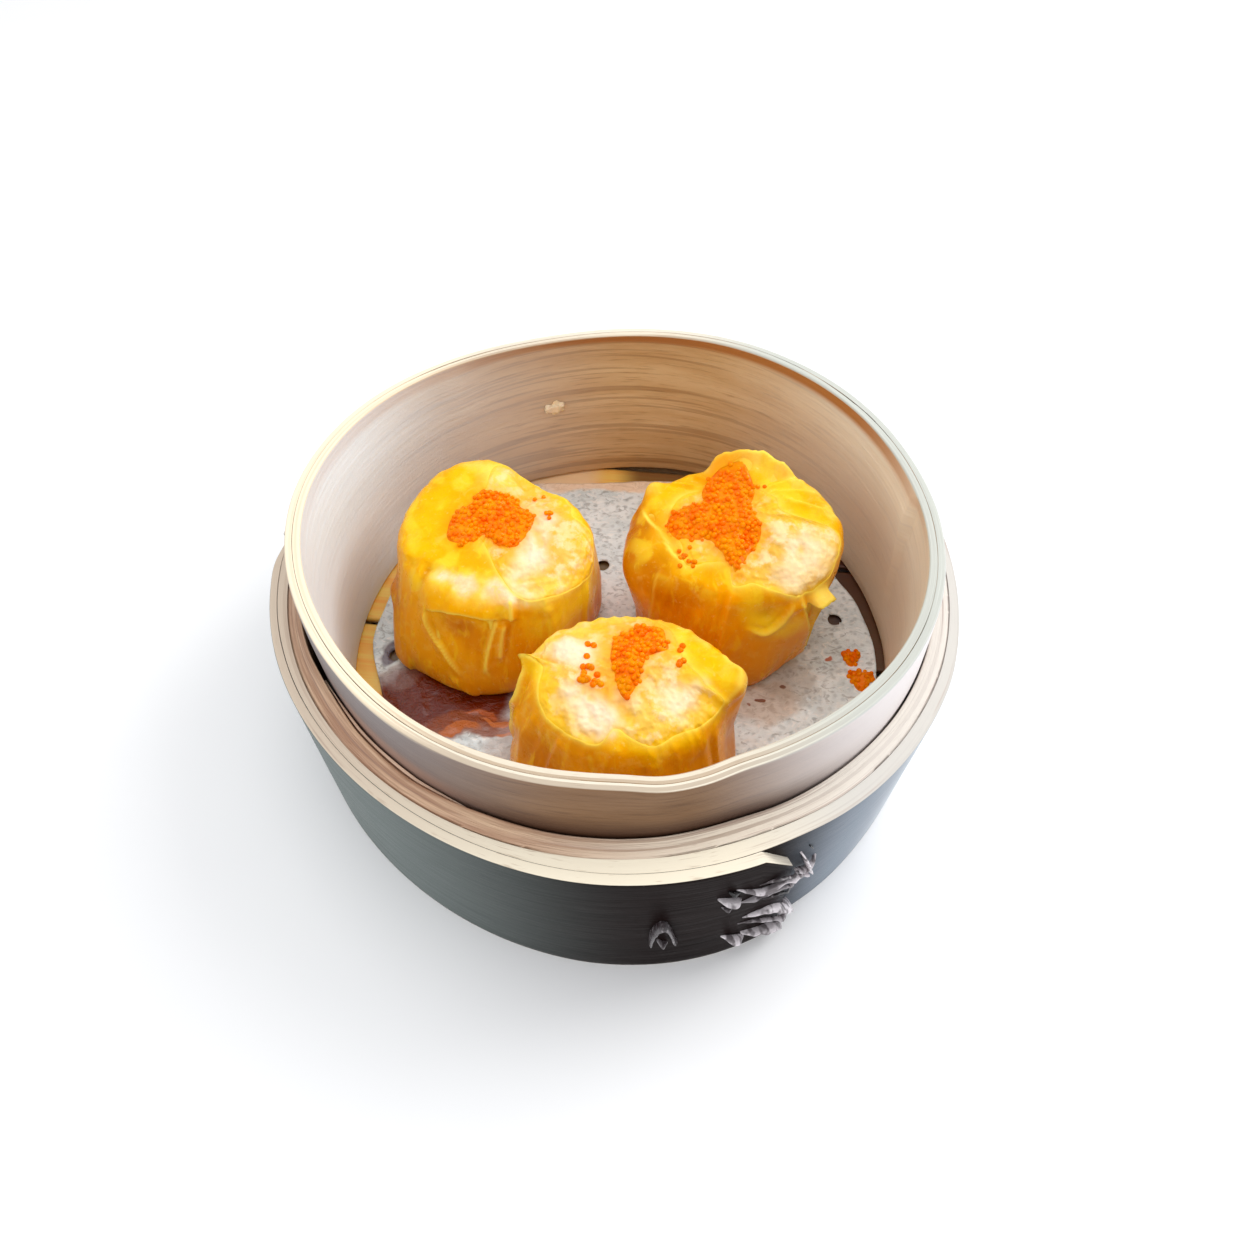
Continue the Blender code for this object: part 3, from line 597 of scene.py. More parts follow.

# ---- The lacing ---------------------------------------------------------------------------------------
# Split rattan, soaked soft and pulled through pricked holes, binds the strip's cut end to the plies under it,
# with one more loop to its left. It dried flat, twisted and glossy, with white painted highlights streaked
# along it; near-black marks laid on the band are painted shade in its holes and under its strands.

LACES = (                          # how pale a strand is (below 0, a near-black mark of painted shade in a hole and under the strands), and its degrees, height, half-width, stand-off in mm
    ("lace_knot", "stitch_knot", (
        (0.95, ((-64.9, 31.4, 0.7, -0.3), (-64.4, 29.8, 1.1, 0.8), (-63.9, 27.0, 1.4, 1.2),
                (-63.0, 23.2, 1.3, 1.2), (-62.2, 20.2, 0.7, 0.2))),
        (0.70, ((-66.0, 27.6, 0.5, 0.2), (-64.6, 25.8, 0.9, 1.3), (-62.9, 25.2, 0.8, 1.1),
                (-61.6, 26.0, 0.4, -0.2))),
        (-0.8, ((-63.7, 33.0, 0.5, 0.0), (-63.2, 31.8, 0.9, 0.05), (-62.9, 30.8, 0.4, 0.0))))),
    ("lace_upper_a", "stitch_upper_a", (
        (0.72, ((-63.4, 22.6, 1.2, 1.5), (-65.8, 26.0, 0.8, 1.2), (-68.1, 28.2, 0.55, 0.8),
                (-70.1, 27.9, 0.8, 0.6), (-72.2, 28.4, 0.8, 0.5), (-75.4, 31.4, 0.45, -0.2))),
        (0.15, ((-64.2, 24.6, 0.5, 1.0), (-66.4, 28.2, 0.45, 0.8), (-69.0, 30.0, 0.4, 0.5),
                (-72.0, 29.8, 0.3, -0.2))),
        (0.62, ((-77.9, 29.3, 0.8, -0.3), (-76.6, 28.4, 1.2, 0.6), (-75.3, 27.6, 1.1, 0.7),
                (-74.5, 26.9, 0.7, -0.3))),
        (-0.8, ((-76.6, 31.8, 0.4, 0.0), (-75.8, 30.9, 1.0, 0.1), (-74.8, 30.0, 0.4, 0.0))),
        (0.35, ((-77.2, 24.9, 0.4, -0.2), (-76.4, 24.0, 0.7, 0.4), (-75.5, 23.4, 0.4, -0.2))))),
    ("lace_upper_b", "stitch_upper_b", (
        (0.45, ((-64.6, 20.8, 0.5, 0.9), (-67.3, 24.2, 0.5, 0.6), (-70.0, 25.6, 0.5, 0.5),
                (-72.4, 25.5, 0.7, 0.4), (-74.6, 24.4, 0.4, -0.2))),
        (-0.3, ((-65.6, 18.8, 0.3, 0.3), (-69.0, 22.6, 0.4, 0.4), (-72.6, 23.4, 0.3, -0.1))))),
    ("lace_lower_a", "stitch_lower_a", (
        (1.0, ((-64.5, 3.4, 1.2, 0.3), (-64.7, 7.6, 1.9, 1.1), (-66.2, 12.2, 1.7, 1.0),
               (-68.6, 16.0, 1.2, 0.7), (-71.2, 17.0, 0.7, 0.5), (-73.6, 16.2, 0.4, -0.2))),
        (0.55, ((-65.2, 6.0, 0.8, 1.2), (-68.0, 9.8, 0.7, 0.9), (-70.8, 12.6, 0.5, 0.6),
                (-74.2, 13.6, 0.3, -0.2))))),
    ("lace_lower_b", "stitch_lower_b", (
        (0.72, ((-65.4, 2.0, 0.8, 0.3), (-67.2, 4.9, 1.1, 0.9), (-69.0, 6.3, 1.4, 0.9),
                (-71.2, 7.2, 1.2, 0.6), (-73.4, 8.2, 0.7, -0.2))),
        (0.95, ((-76.6, 9.6, 0.7, -0.3), (-75.4, 8.8, 1.1, 0.8), (-74.2, 7.6, 1.3, 0.9),
                (-72.9, 6.2, 0.8, -0.2))))),
    ("lace_loop", "stitch_loop", (
        (0.20, ((-87.0, 11.4, 1.1, -0.4), (-87.1, 15.0, 1.3, 0.5), (-86.8, 19.4, 1.4, 0.8),
                (-86.0, 22.6, 1.4, 0.9), (-85.0, 22.8, 1.4, 0.9), (-84.3, 19.4, 1.4, 0.8),
                (-83.8, 15.0, 1.3, 0.6), (-83.3, 11.8, 1.1, -0.4))),
        (0.35, ((-86.2, 14.2, 0.7, -0.3), (-85.4, 13.0, 1.1, 0.6), (-84.6, 12.4, 0.7, -0.3))))),
)
MM = 0.001                         # a millimetre, in metres
LACE_STEPS = 36
LACE_SLIM = 0.80                   # share of the widths above that the dried strands keep
LACE_RAGGED = 0.28                 # share by which a strand thins and swells along its length
LACE_WAVER = 0.1                   # how much its stand-off varies, in millimetres
STEP_RUN = 2.0                     # degrees in which the strands come down past the strip's cut end


def band_face(angle, z):
    """The band's outside, which steps in past the cut end of its outermost strip."""
    past = np.clip((angle - strip_end - 0.2) / STEP_RUN, 0.0, 1.0)
    return strip_out(np.minimum(angle, strip_end), z) * (1 - past) + middle_out(angle, z) * past


def new_tree(name, inputs):
    """A tree of geometry nodes with named inputs, each with its usual value, and one more for the finish."""
    tree = bpy.data.node_groups.new(name, "GeometryNodeTree")
    tree.interface.new_socket("Geometry", in_out="INPUT", socket_type="NodeSocketGeometry")
    for label, value in inputs.items():
        kind = "NodeSocketInt" if isinstance(value, int) else "NodeSocketFloat"
        tree.interface.new_socket(label, in_out="INPUT", socket_type=kind).default_value = value
    tree.interface.new_socket("Finish", in_out="INPUT", socket_type="NodeSocketMaterial")
    tree.interface.new_socket("Geometry", in_out="OUTPUT", socket_type="NodeSocketGeometry")
    return tree, tree.nodes.new("NodeGroupInput").outputs


def shape(kind, inputs, out=0, **settings):
    """Adds a geometry node to the tree that its inputs come from."""
    return step(tree_of(inputs), "GeometryNode" + kind, inputs, out, **settings)


def stored(tree, name, kind="FLOAT"):
    """What the points of a mesh carry under a name."""
    return step(tree, "GeometryNodeInputNamedAttribute", {"Name": name}, data_type=kind)


def vector_of(x=0.0, y=0.0, z=0.0):
    return node("CombineXYZ", {0: x, 1: y, 2: z})


def end_tree(tree, geometry, finish_input):
    """The last steps of every tree: everything made real, and given its finish."""
    real = shape("RealizeInstances", {"Geometry": geometry})
    shown = shape("SetMaterial", {"Geometry": real, "Material": finish_input})
    tree.links.new(shown, tree.nodes.new("NodeGroupOutput").inputs[0])


def grow(name, mesh, tree, **values):
    """Runs a tree over a mesh and keeps what comes out as a plain piece."""
    seed_piece = bpy.data.objects.new(name + "_seed", mesh)
    bpy.context.scene.collection.objects.link(seed_piece)
    modifier = seed_piece.modifiers.new("grow", "NODES")
    modifier.node_group = tree
    for item in tree.interface.items_tree:
        label = item.name.replace(" ", "_").lower()
        if item.in_out == "INPUT" and label in values:
            modifier[item.identifier] = values[label]
    evaluated = seed_piece.evaluated_get(bpy.context.evaluated_depsgraph_get())
    grown = bpy.data.meshes.new_from_object(evaluated)
    seed_piece.modifiers.remove(modifier)
    bpy.data.objects.remove(seed_piece)
    grown.name = name
    grown.shade_smooth()
    piece = bpy.data.objects.new(name, grown)
    bpy.context.scene.collection.objects.link(piece)
    return piece


tree, given = new_tree("flat_lace", {"Flatness": 0.30, "Sides": 14})
line = shape("MeshToCurve", {"Mesh": given["Geometry"]})
outward = stored(tree, "outward", "FLOAT_VECTOR")
line = shape("SetCurveNormal", {"Curve": line, "Normal": outward}, mode="FREE")
half_width = stored(tree, "half_width")
line = shape("SetCurveRadius", {"Curve": line, "Radius": half_width})
section = shape("CurvePrimitiveCircle", {"Resolution": given["Sides"], "Radius": 1.0})
section = shape("Transform", {"Geometry": section, "Scale": vector_of(1.0, given["Flatness"], 1.0)})
lace = shape("CurveToMesh", {
    "Curve": line, "Profile Curve": section, "Scale": half_width, "Fill Caps": True})
end_tree(tree, lace, given["Finish"])

glossy_rattan = new_finish("glossy_rattan", Coat_Weight=0.35, Coat_Roughness=0.1)
paleness_and_hole_shade = point_value(glossy_rattan, "paleness_and_hole_shade")
place = object_place(glossy_rattan)
scuffs_and_glints = cloud(scaled(place, 1.0, 1.0, 1.6), 900.0, 3.0)
shreds = cloud(scaled(place, 1.0, 1.0, 3.0), 330.0, 2.0)
colour = tint(remap(paleness_and_hole_shade, 0.0, 1.0), (36, 28, 32), (232, 224, 228))
colour = tint(remap(shreds, 0.48, 0.60, 0.0, 0.75), colour, (46, 30, 34))
# painted highlight: white streaks along the strands
colour = tint(remap(scuffs_and_glints, 0.55, 0.75, 0.0, 0.45), colour, (250, 240, 244))
# painted shade: strands marked below 0 are turned near black
colour = tint(remap(paleness_and_hole_shade, -0.1, -0.6), colour, (8, 5, 6))
paint(glossy_rattan, colour, remap(scuffs_and_glints, 0.3, 0.7, 0.2, 0.4), scuffs_and_glints, depth=0.00014)

for name, node_name, strands in LACES:
    places, edges, marks = [], [], []
    for pale, bends in strands:
        angles, heights, halves, offs = np.array(bends).T
        bend, along = np.linspace(0, 1, len(bends)), np.linspace(0, 1, LACE_STEPS)
        angle, z, half, off = (smooth_through(bend, values, along)
                               for values in (angles + 360, heights, halves, offs))
        ragged = noise_over(np.stack([angle * 0.9, z * 0.55, 0 * z], -1), 3.0 + len(places))
        half = half * LACE_SLIM * (1 + LACE_RAGGED * ragged)
        radius = band_face(angle, z * MM) + (off + LACE_WAVER * ragged) * MM
        turn = np.radians(angle)
        edges += [(len(places) + i, len(places) + i + 1) for i in range(LACE_STEPS - 1)]
        places += np.stack([radius * np.cos(turn), radius * np.sin(turn), z * MM], -1).tolist()
        marks += np.stack([np.cos(turn), np.sin(turn), 0 * turn, half * MM, pale + 0 * turn], -1).tolist()
    marks = np.array(marks)
    lines = bpy.data.meshes.new(name + "_lines")
    lines.from_pydata(places, edges, [])
    carry(lines, {"outward": marks[:, :3], "half_width": marks[:, 3], "paleness_and_hole_shade": marks[:, 4]})
    settle(grow(name, lines, tree, finish=glossy_rattan), "rattan", node_name)

# ---- The packing strip, the foot ring and the two bars ----------------------------------------------
# A loose strip is pushed down between hoop and core at the front left. A short ring of cane inside the foot
# carries two bars, pinned across, that hold the slats. They are plain split bamboo, never planed smooth.

THIN_END = 0.25                    # the strip's thickness at its ends, as a share of its middle's
TORN_TOP, TORN_EDGE, TORN_END = 0.0002, 0.0007, 0.0030     # how far its torn top edge drops, last at the ends
TORN_RUN = 9.0                     # degrees
PACKING_ROUND = 0.0003

finish, colour, rough, height, _ = bamboo(
    "bamboo_packing", (232, 196, 168), (206, 160, 128), (150, 106, 78), (238, 206, 178), gloss=0.5)
paint(finish, colour, rough, height, depth=0.00008)
packing_low, packing_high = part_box("packing_strip")


def packing_face(angle, z):
    """The strip's inside face; its outside lies near the core."""
    thick = THIN_END + (1 - THIN_END) * packed(angle, PACKING_RUN)
    return core_inside(angle, z) - PACKING_LOOSE - PACKING_WALL * thick


def packing_top(angle):
    turn = np.radians(angle)
    ragged = abs(noise_over(np.stack([9 * np.cos(turn), 9 * np.sin(turn), 0 * turn], -1)))
    return packing_high.z - TORN_TOP - TORN_EDGE * ragged - TORN_END * (1 - packed(angle, TORN_RUN)) ** 2


loose_strip = bent_ply("packing_strip_loose", lambda a, z: core_inside(a, z) - PACKING_LOOSE, packing_face,
                       packing_low.z, packing_high.z, finish, span=(packing_start, packing_end),
                       pitches=(HIDDEN_PITCH, BAND_PITCH), fibre=2 * FIBRE_DEPTH,
                       rounds=(PACKING_ROUND, PACKING_ROUND), top_at=packing_top, seed=23.0)
settle(loose_strip, "bamboo", "packing_strip")

rough_cane = new_finish("rough_cane", Coat_Weight=0.0)
place = object_place(rough_cane)
long_lines = cloud(scaled(place, 60.0, 60.0, 1400.0), 1.0, 4.0, 0.6)
colour = tint(long_lines, (204, 172, 130), (156, 118, 78))
paint(rough_cane, colour, remap(long_lines, 0.2, 0.8, 0.5, 0.7), long_lines, depth=0.0001)
for node_name in ("foot_ring", "bar_1", "bar_2"):
    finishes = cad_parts[node_name].data.materials
    finishes.clear()
    finishes.append(rough_cane)

# ---- The slats ----------------------------------------------------------------------------------------
# Four broad slats of split bamboo lie side by side on the bars, a narrow slot between each two, with their
# ends cut round to the hoop. They are coloured darker towards the back right, painted dark as shade at the
# far right under the hoop's wall and beneath the paper, and painted paler at the back left where light falls.

SLATS = 4
SLAT_PITCH = 0.0310
SLAT_SLOT = 0.0018
SLAT_TURN = math.radians(-10.0)
SLAT_FAR_EDGE = 0.0590             # from the middle of the basket, across the slats
SLAT_FIBRE = 0.00012
SLAT_CUTS = {"Vertices X": 90, "Vertices Y": 56, "Vertices Z": 3}
SLAT_EASE = 0.0002                 # by which they are thinner than in the frame, and a little shorter


def length_of(vector):
    return node("VectorMath", {0: vector}, out="Value", operation="LENGTH")


tree, given = new_tree("row_of_slats", {
    "Slats": SLATS, "Pitch": SLAT_PITCH, "Slot": SLAT_SLOT, "Far Edge": SLAT_FAR_EDGE, "Reach": 0.06,
    "Thickness": 0.002, "Height": 0.005, "Turn": SLAT_TURN, "Fibre": SLAT_FIBRE})
wide = reckon(given["Pitch"], given["Slot"], "SUBTRACT")
blank_size = vector_of(times(given["Reach"], 2.0), wide, given["Thickness"])
blank = shape("MeshCube", {"Size": blank_size, **SLAT_CUTS})
last = reckon(given["Far Edge"], times(wide, 0.5), "SUBTRACT")
row = shape("MeshLine", {
    "Count": given["Slats"], "Start Location": vector_of(0.0, last, given["Height"]),
    "Offset": vector_of(0.0, times(given["Pitch"], -1.0))})
middle_line = numbers_of(step(tree, "GeometryNodeInputPosition", {}))[1]
row = shape("StoreNamedAttribute", {"Geometry": row, "Name": "slat", "Value": middle_line},
            data_type="FLOAT", domain="POINT")
slats = shape("RealizeInstances", {"Geometry": shape("InstanceOnPoints", {"Points": row, "Instance": blank})})
middle_line = stored(tree, "slat")
along, over, high = numbers_of(step(tree, "GeometryNodeInputPosition", {}))
limit = times(given["Reach"], 0.985)
half_wide = times(wide, 0.5)
lower = reckon(reckon(middle_line, half_wide, "SUBTRACT"), times(limit, -1.0), "MAXIMUM")
upper = reckon(reckon(middle_line, half_wide), limit, "MINIMUM")
over = node("MapRange", {
    "Value": reckon(over, middle_line, "SUBTRACT"), "From Min": times(half_wide, -1.0),
    "From Max": half_wide, "To Min": lower, "To Max": upper})
slope = reckon(over, given["Reach"], "DIVIDE")
chord = reckon(reckon(1.0, times(slope, slope), "SUBTRACT"), 0.5, "POWER")
along = times(along, chord)
fibres = cloud(vector_of(times(along, 14.0), times(over, 520.0), middle_line), 1.0, 2.0)
fibres = times(reckon(fibres, 1.0, "SUBTRACT"), given["Fibre"])
slats = shape("SetPosition", {"Geometry": slats, "Position": vector_of(along, over, reckon(high, fibres))})
slats = shape("Transform", {"Geometry": slats, "Rotation": vector_of(z=given["Turn"])})
end_tree(tree, slats, given["Finish"])

soaked_wood = new_finish("soaked_slats", Coat_Weight=0.4, Coat_Roughness=0.25)
place = object_place(soaked_wood)
straight = node("VectorRotate", {"Vector": place, "Angle": -SLAT_TURN}, rotation_type="Z_AXIS")
lines = cloud(scaled(straight, 18.0, 620.0, 100.0), 1.0, 4.0, 0.65)
patches = cloud(scaled(straight, 22.0, 60.0, 10.0), 1.0, 3.0)
colour = tint(remap(lines, 0.3, 0.7), (255, 216, 112), (255, 178, 76))
colour = tint(remap(patches, 0.5, 0.75, 0.0, 0.6), colour, (255, 200, 140))
rightward, backward, _ = numbers_of(place)
# painted light: the slats are made paler at the back left, where light falls on them
painted_light_back = times(remap(rightward, 0.000, -0.008), remap(backward, 0.049, 0.054))
colour = tint(times(painted_light_back, 0.8), colour, (255, 222, 184))
# the slats are coloured darker towards the back right
dark_back = times(remap(rightward, 0.000, 0.009), remap(backward, -0.03, 0.03))
colour = tint(times(dark_back, 0.85), colour, (96, 48, 26))
# painted shade: the slats' ends at the far right, in the shade of the hoop's wall
colour = tint(remap(rightward, 0.050, 0.056, 0.0, 0.93), colour, (70, 34, 22))
# painted shade: the slats are darkened under the paper, so that its holes show dark
reach = length_of(scaled(place, 1.0, 1.0, 0.0))
painted_shade_under_liner = times(remap(reach, 0.0556, 0.0550), remap(backward, 0.049, 0.045))
colour = tint(times(painted_shade_under_liner, 0.9), colour, (58, 34, 30))
paint(soaked_wood, colour, remap(lines, 0.3, 0.7, 0.28, 0.5), lines, depth=0.00012)

slat_names = [f"slat_{i + 1}" for i in range(SLATS)]
slat_corners = np.concatenate([corner_points(name) for name in slat_names])
slat_low, slat_high = slat_corners[:, 2].min(), slat_corners[:, 2].max()
slat_reach = float(np.hypot(slat_corners[:, 0], slat_corners[:, 1]).max())
slats = grow("slats", bpy.data.meshes.new("slats"), tree, reach=slat_reach - 1.5 * SLAT_EASE,
             thickness=float(slat_high - slat_low) - SLAT_EASE, height=float(slat_high + slat_low) / 2,
             turn=SLAT_TURN, fibre=SLAT_FIBRE, finish=soaked_wood)
settle(slats, "slats", *slat_names)

# ---- The liner ----------------------------------------------------------------------------------------
# A round of thin white steaming paper with a few punched holes. Steam has wrinkled it and left it wet and
# half clear; brown juices have soaked in beside the left dumpling and at the right, with the two dumplings'
# shadows painted over them. Painted highlights lie on the wet paper and its ripples, and painted shade in
# the ripples' troughs and round a hole.

LINER_RINGS = 96
LINER_COLUMNS = 460
LINER_EDGE_STEP = 7.5              # degrees
PULL_ANGLE, PULL_SPREAD, PULL = 178, 11, 0.0030     # where the paper lies further out, and how far
WRINKLE, CRINKLE, BUCKLE = 0.00026, 0.00016, 0.00022
EDGE_LIFT = 0.0006
PAPER_DROP = 0.00025               # how far the paper's middle lies under the frame's
LINER_MARKS_AND_LIGHT = (                    # x, y and half-widths in metres, how strong, and the colour
    # painted shadow of the left dumpling, over paper soaked brown
    (-0.041, -0.0145, 0.0175, 0.0105, 1.0, (104, 28, 0)),
    (-0.051, -0.0085, 0.0050, 0.0040, 0.5, (140, 104, 94)),
    # painted light: the lit part and bright orange streaks of highlight on the wet brown paper
    (-0.033, -0.0222, 0.0110, 0.0034, 0.85, (140, 66, 24)),
    (-0.037, -0.0238, 0.0042, 0.0009, 0.9, (190, 104, 46)),
    (-0.029, -0.0212, 0.0048, 0.0008, 0.9, (196, 110, 52)),
    (-0.033, -0.0196, 0.0040, 0.0007, 0.8, (178, 88, 40)),
    (-0.025, -0.0246, 0.0040, 0.0008, 0.8, (206, 124, 74)),
    (-0.024, -0.0290, 0.0080, 0.0045, 0.5, (176, 160, 152)),
    # painted shadow of the right dumpling, over paper soaked pale brown
    (0.0310, -0.0200, 0.0100, 0.0062, 0.5, (204, 172, 142)),
    (0.0395, -0.0150, 0.0065, 0.0060, 0.4, (150, 138, 120)),
    (0.0020, 0.0540, 0.0240, 0.0044, 0.75, (255, 216, 176)),
    # painted shade: a dark ring round the hole at the left
    (-0.0545, -0.0015, 0.0026, 0.0034, 0.9, (92, 74, 88)),
    (0.0327, -0.0196, 0.0007, 0.0006, 0.9, (120, 62, 36)),
    (0.0375, -0.0174, 0.0007, 0.0006, 0.9, (110, 66, 44)),
    (0.0300, -0.0212, 0.0006, 0.0005, 0.8, (140, 84, 56)),
    (0.0503, -0.0098, 0.0008, 0.0007, 0.9, (196, 92, 36)),
)


def liner_edge(angle):
    """The paper's radius, from the frame's own liner; at the left it lies a little further out."""
    points = corner_points("liner")
    radii = np.hypot(points[:, 0], points[:, 1])
    angles = np.degrees(np.arctan2(points[:, 1], points[:, 0])) % 360
    columns = np.arange(0.0, 360.0, LINER_EDGE_STEP)
    reach = [radii[abs((angles - column + 180) % 360 - 180) < 0.5].max() for column in columns]
    angle = np.asarray(angle) % 360
    pulled = PULL * np.exp(-((angle - PULL_ANGLE) / PULL_SPREAD) ** 2)
    return smooth_through(columns, reach, angle, 360) + pulled


def joined(*parts):
    """Several geometries as one, in their order."""
    tree = parts[0].id_data
    whole = tree.nodes.new("GeometryNodeJoinGeometry")
    for part in parts:
        tree.links.new(part, whole.inputs[0])
    return whole.outputs[0]


tree, given = new_tree("punched_paper", {
    "Inner Holes": 3, "Inner Ring": 0.0230, "Inner Turn": math.radians(97.2),
    "Outer Holes": 6, "Outer Ring": 0.0535, "Outer Turn": math.radians(2.6),
    "Hole": 0.0017, "Snap": 0.0004, "Thickness": 0.00035})
rings = []
for ring in ("Inner", "Outer"):
    circle = shape("MeshCircle", {"Vertices": given[ring + " Holes"], "Radius": given[ring + " Ring"]})
    rings.append(shape("Transform", {"Geometry": circle, "Rotation": vector_of(z=given[ring + " Turn"])}))
flat = scaled(step(tree, "GeometryNodeInputPosition", {}), 1.0, 1.0, 0.0)
nearest = shape("Proximity", {"Geometry": joined(*rings), "Sample Position": flat}, target_element="POINTS")
centre, distance = nearest, nearest.node.outputs["Distance"]
outward = node("VectorMath", {0: flat, 1: centre}, operation="SUBTRACT")
outward = node("VectorMath", {0: outward}, operation="NORMALIZE")
short = reckon(given["Hole"], distance, "SUBTRACT")
at_rim = reckon(reckon(short, 0.0, "ABSOLUTE"), given["Snap"], "LESS_THAN")
paper = shape("SetPosition", {
    "Geometry": given["Geometry"], "Selection": at_rim,
    "Offset": node("VectorMath", {0: outward, "Scale": short}, operation="SCALE")})
inside_hole = reckon(distance, given["Hole"], "LESS_THAN")
paper = shape("DeleteGeometry", {"Geometry": paper, "Selection": inside_hole}, domain="FACE")
under = shape("ExtrudeMesh", {
    "Mesh": paper, "Offset": (0.0, 0.0, -1.0), "Offset Scale": given["Thickness"], "Individual": False})
whole = joined(shape("FlipFaces", {"Mesh": paper}), under)
whole = shape("MergeByDistance", {"Geometry": whole, "Distance": 0.00001})
end_tree(tree, whole, given["Finish"])

wet_paper = new_finish("wet_paper", Coat_Weight=0.5, Coat_Roughness=0.06, Specular_IOR_Level=0.35)
place = object_place(wet_paper)
blots = cloud(place, 110.0, 4.0, 0.6)
cells = node("TexVoronoi", {"Vector": place, "Scale": 640.0, "Smoothness": 0.7}, feature="SMOOTH_F1")
ripples = cloud(scaled(place, 1.0, 1.7, 1.0), 380.0, 4.0, 0.6, 1.2)
colour = tint(remap(blots, 0.3, 0.7), (218, 230, 233), (246, 253, 254))
colour = tint(remap(cells, 0.15, 0.5, 0.35, 0.0), colour, (132, 140, 142))
# painted highlight on the crests of the ripples, and painted shade in their troughs
colour = tint(remap(ripples, 0.56, 0.64, 0.0, 0.6), colour, (255, 255, 252))
colour = tint(remap(ripples, 0.44, 0.36, 0.0, 0.45), colour, (120, 120, 120))
wander = node("TexNoise", {"Vector": place, "Scale": 95.0, "Detail": 3.0}, out="Color")
wander = node("VectorMath", {0: wander, 1: (0.5, 0.5, 0.5)}, operation="SUBTRACT")
wander = node("VectorMath", {0: place, 1: scaled(wander, 0.010, 0.010, 0.0)}, operation="ADD")
for x, y, half_x, half_y, strength, mark_and_light_colour in LINER_MARKS_AND_LIGHT:
    shifted = node("VectorMath", {0: wander, 1: (x, y, 0.0)}, operation="SUBTRACT")
    gap = length_of(scaled(shifted, 1 / half_x, 1 / half_y, 0.0))
    colour = tint(remap(gap, 1.15, 0.75, 0.0, strength), colour, mark_and_light_colour)
paint(wet_paper, colour, remap(blots, 0.3, 0.7, 0.14, 0.34), ripples, depth=0.00045)

liner_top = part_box("liner")[1].z
turns = np.linspace(0.0, 360.0, LINER_COLUMNS, endpoint=False)[None, :]
shares = np.linspace(0.004, 1.0, LINER_RINGS)[:, None] ** 0.8
reach = shares * liner_edge(turns)
flat_x, flat_y = reach * np.cos(np.radians(turns)), reach * np.sin(np.radians(turns))
spots = np.stack([flat_x, flat_y, 0 * flat_x], -1)
wrinkles = (1 - 2.2 * abs(noise_over(spots * 130.0, 3.0))) * WRINKLE
wrinkles = wrinkles + noise_over(spots * 420.0, 8.0) * CRINKLE
buckles = noise_over(spots * 34.0, 1.0) * BUCKLE
lifted_edge = EDGE_LIFT * np.clip((shares - 0.93) / 0.07, 0, 1) ** 2 * (0.5 + noise_over(spots * 40.0, 6.0))
paper_height = liner_top - PAPER_DROP + wrinkles + buckles + lifted_edge
points = np.stack([flat_x, flat_y, paper_height], -1)
liner_mesh = bpy.data.meshes.new("liner_sheet")
liner_faces = grid_faces(LINER_RINGS, LINER_COLUMNS)[:, ::-1].tolist() + [list(range(LINER_COLUMNS))]
liner_mesh.from_pydata(points.reshape(-1, 3).tolist(), [], liner_faces)
liner = grow("liner_paper", liner_mesh, tree, finish=wet_paper)
settle(liner, "liner", "liner")

# ---- The dumplings' wrappers --------------------------------------------------------------------------
# Each dumpling is a thin round of yellow dough gathered up round a handful of filling and left open at the
# top. Steam has made it soft and glossy, and its edge is thin and pale. Its amber grows darker towards the
# foot, partly the dough's own colour and partly painted shade; its fold crests carry painted highlights, and
# its creases and hollows painted shade.

# The dumplings' sizes and tables are in millimetres and degrees.
FOOT_HEIGHT = 6.9
ACROSS = (0.0, 0.84, 0.965, 1.0, 1.0, 0.985, 0.94, 0.79, 0.43, 0.0)     # from the foot's middle to the top's
UPWARD = (0.0, 0.0, 0.035, 0.18, 0.45, 0.72, 0.90, 0.975, 1.0, 1.0)
WRAPPER = 0.75                     # thickness
WRAPPER_ROWS = 110
WRAPPER_COLUMNS = 320
LIP_STEPS = 4
INNER_ROWS = 10
FOOT_SHARE = 0.09                  # where the rows of points start
PROFILE_LENGTH = 62.0              # from the foot's middle over the side to the top's
CURL_RUN = 2.2                     # in which the dough's curled edge comes back down

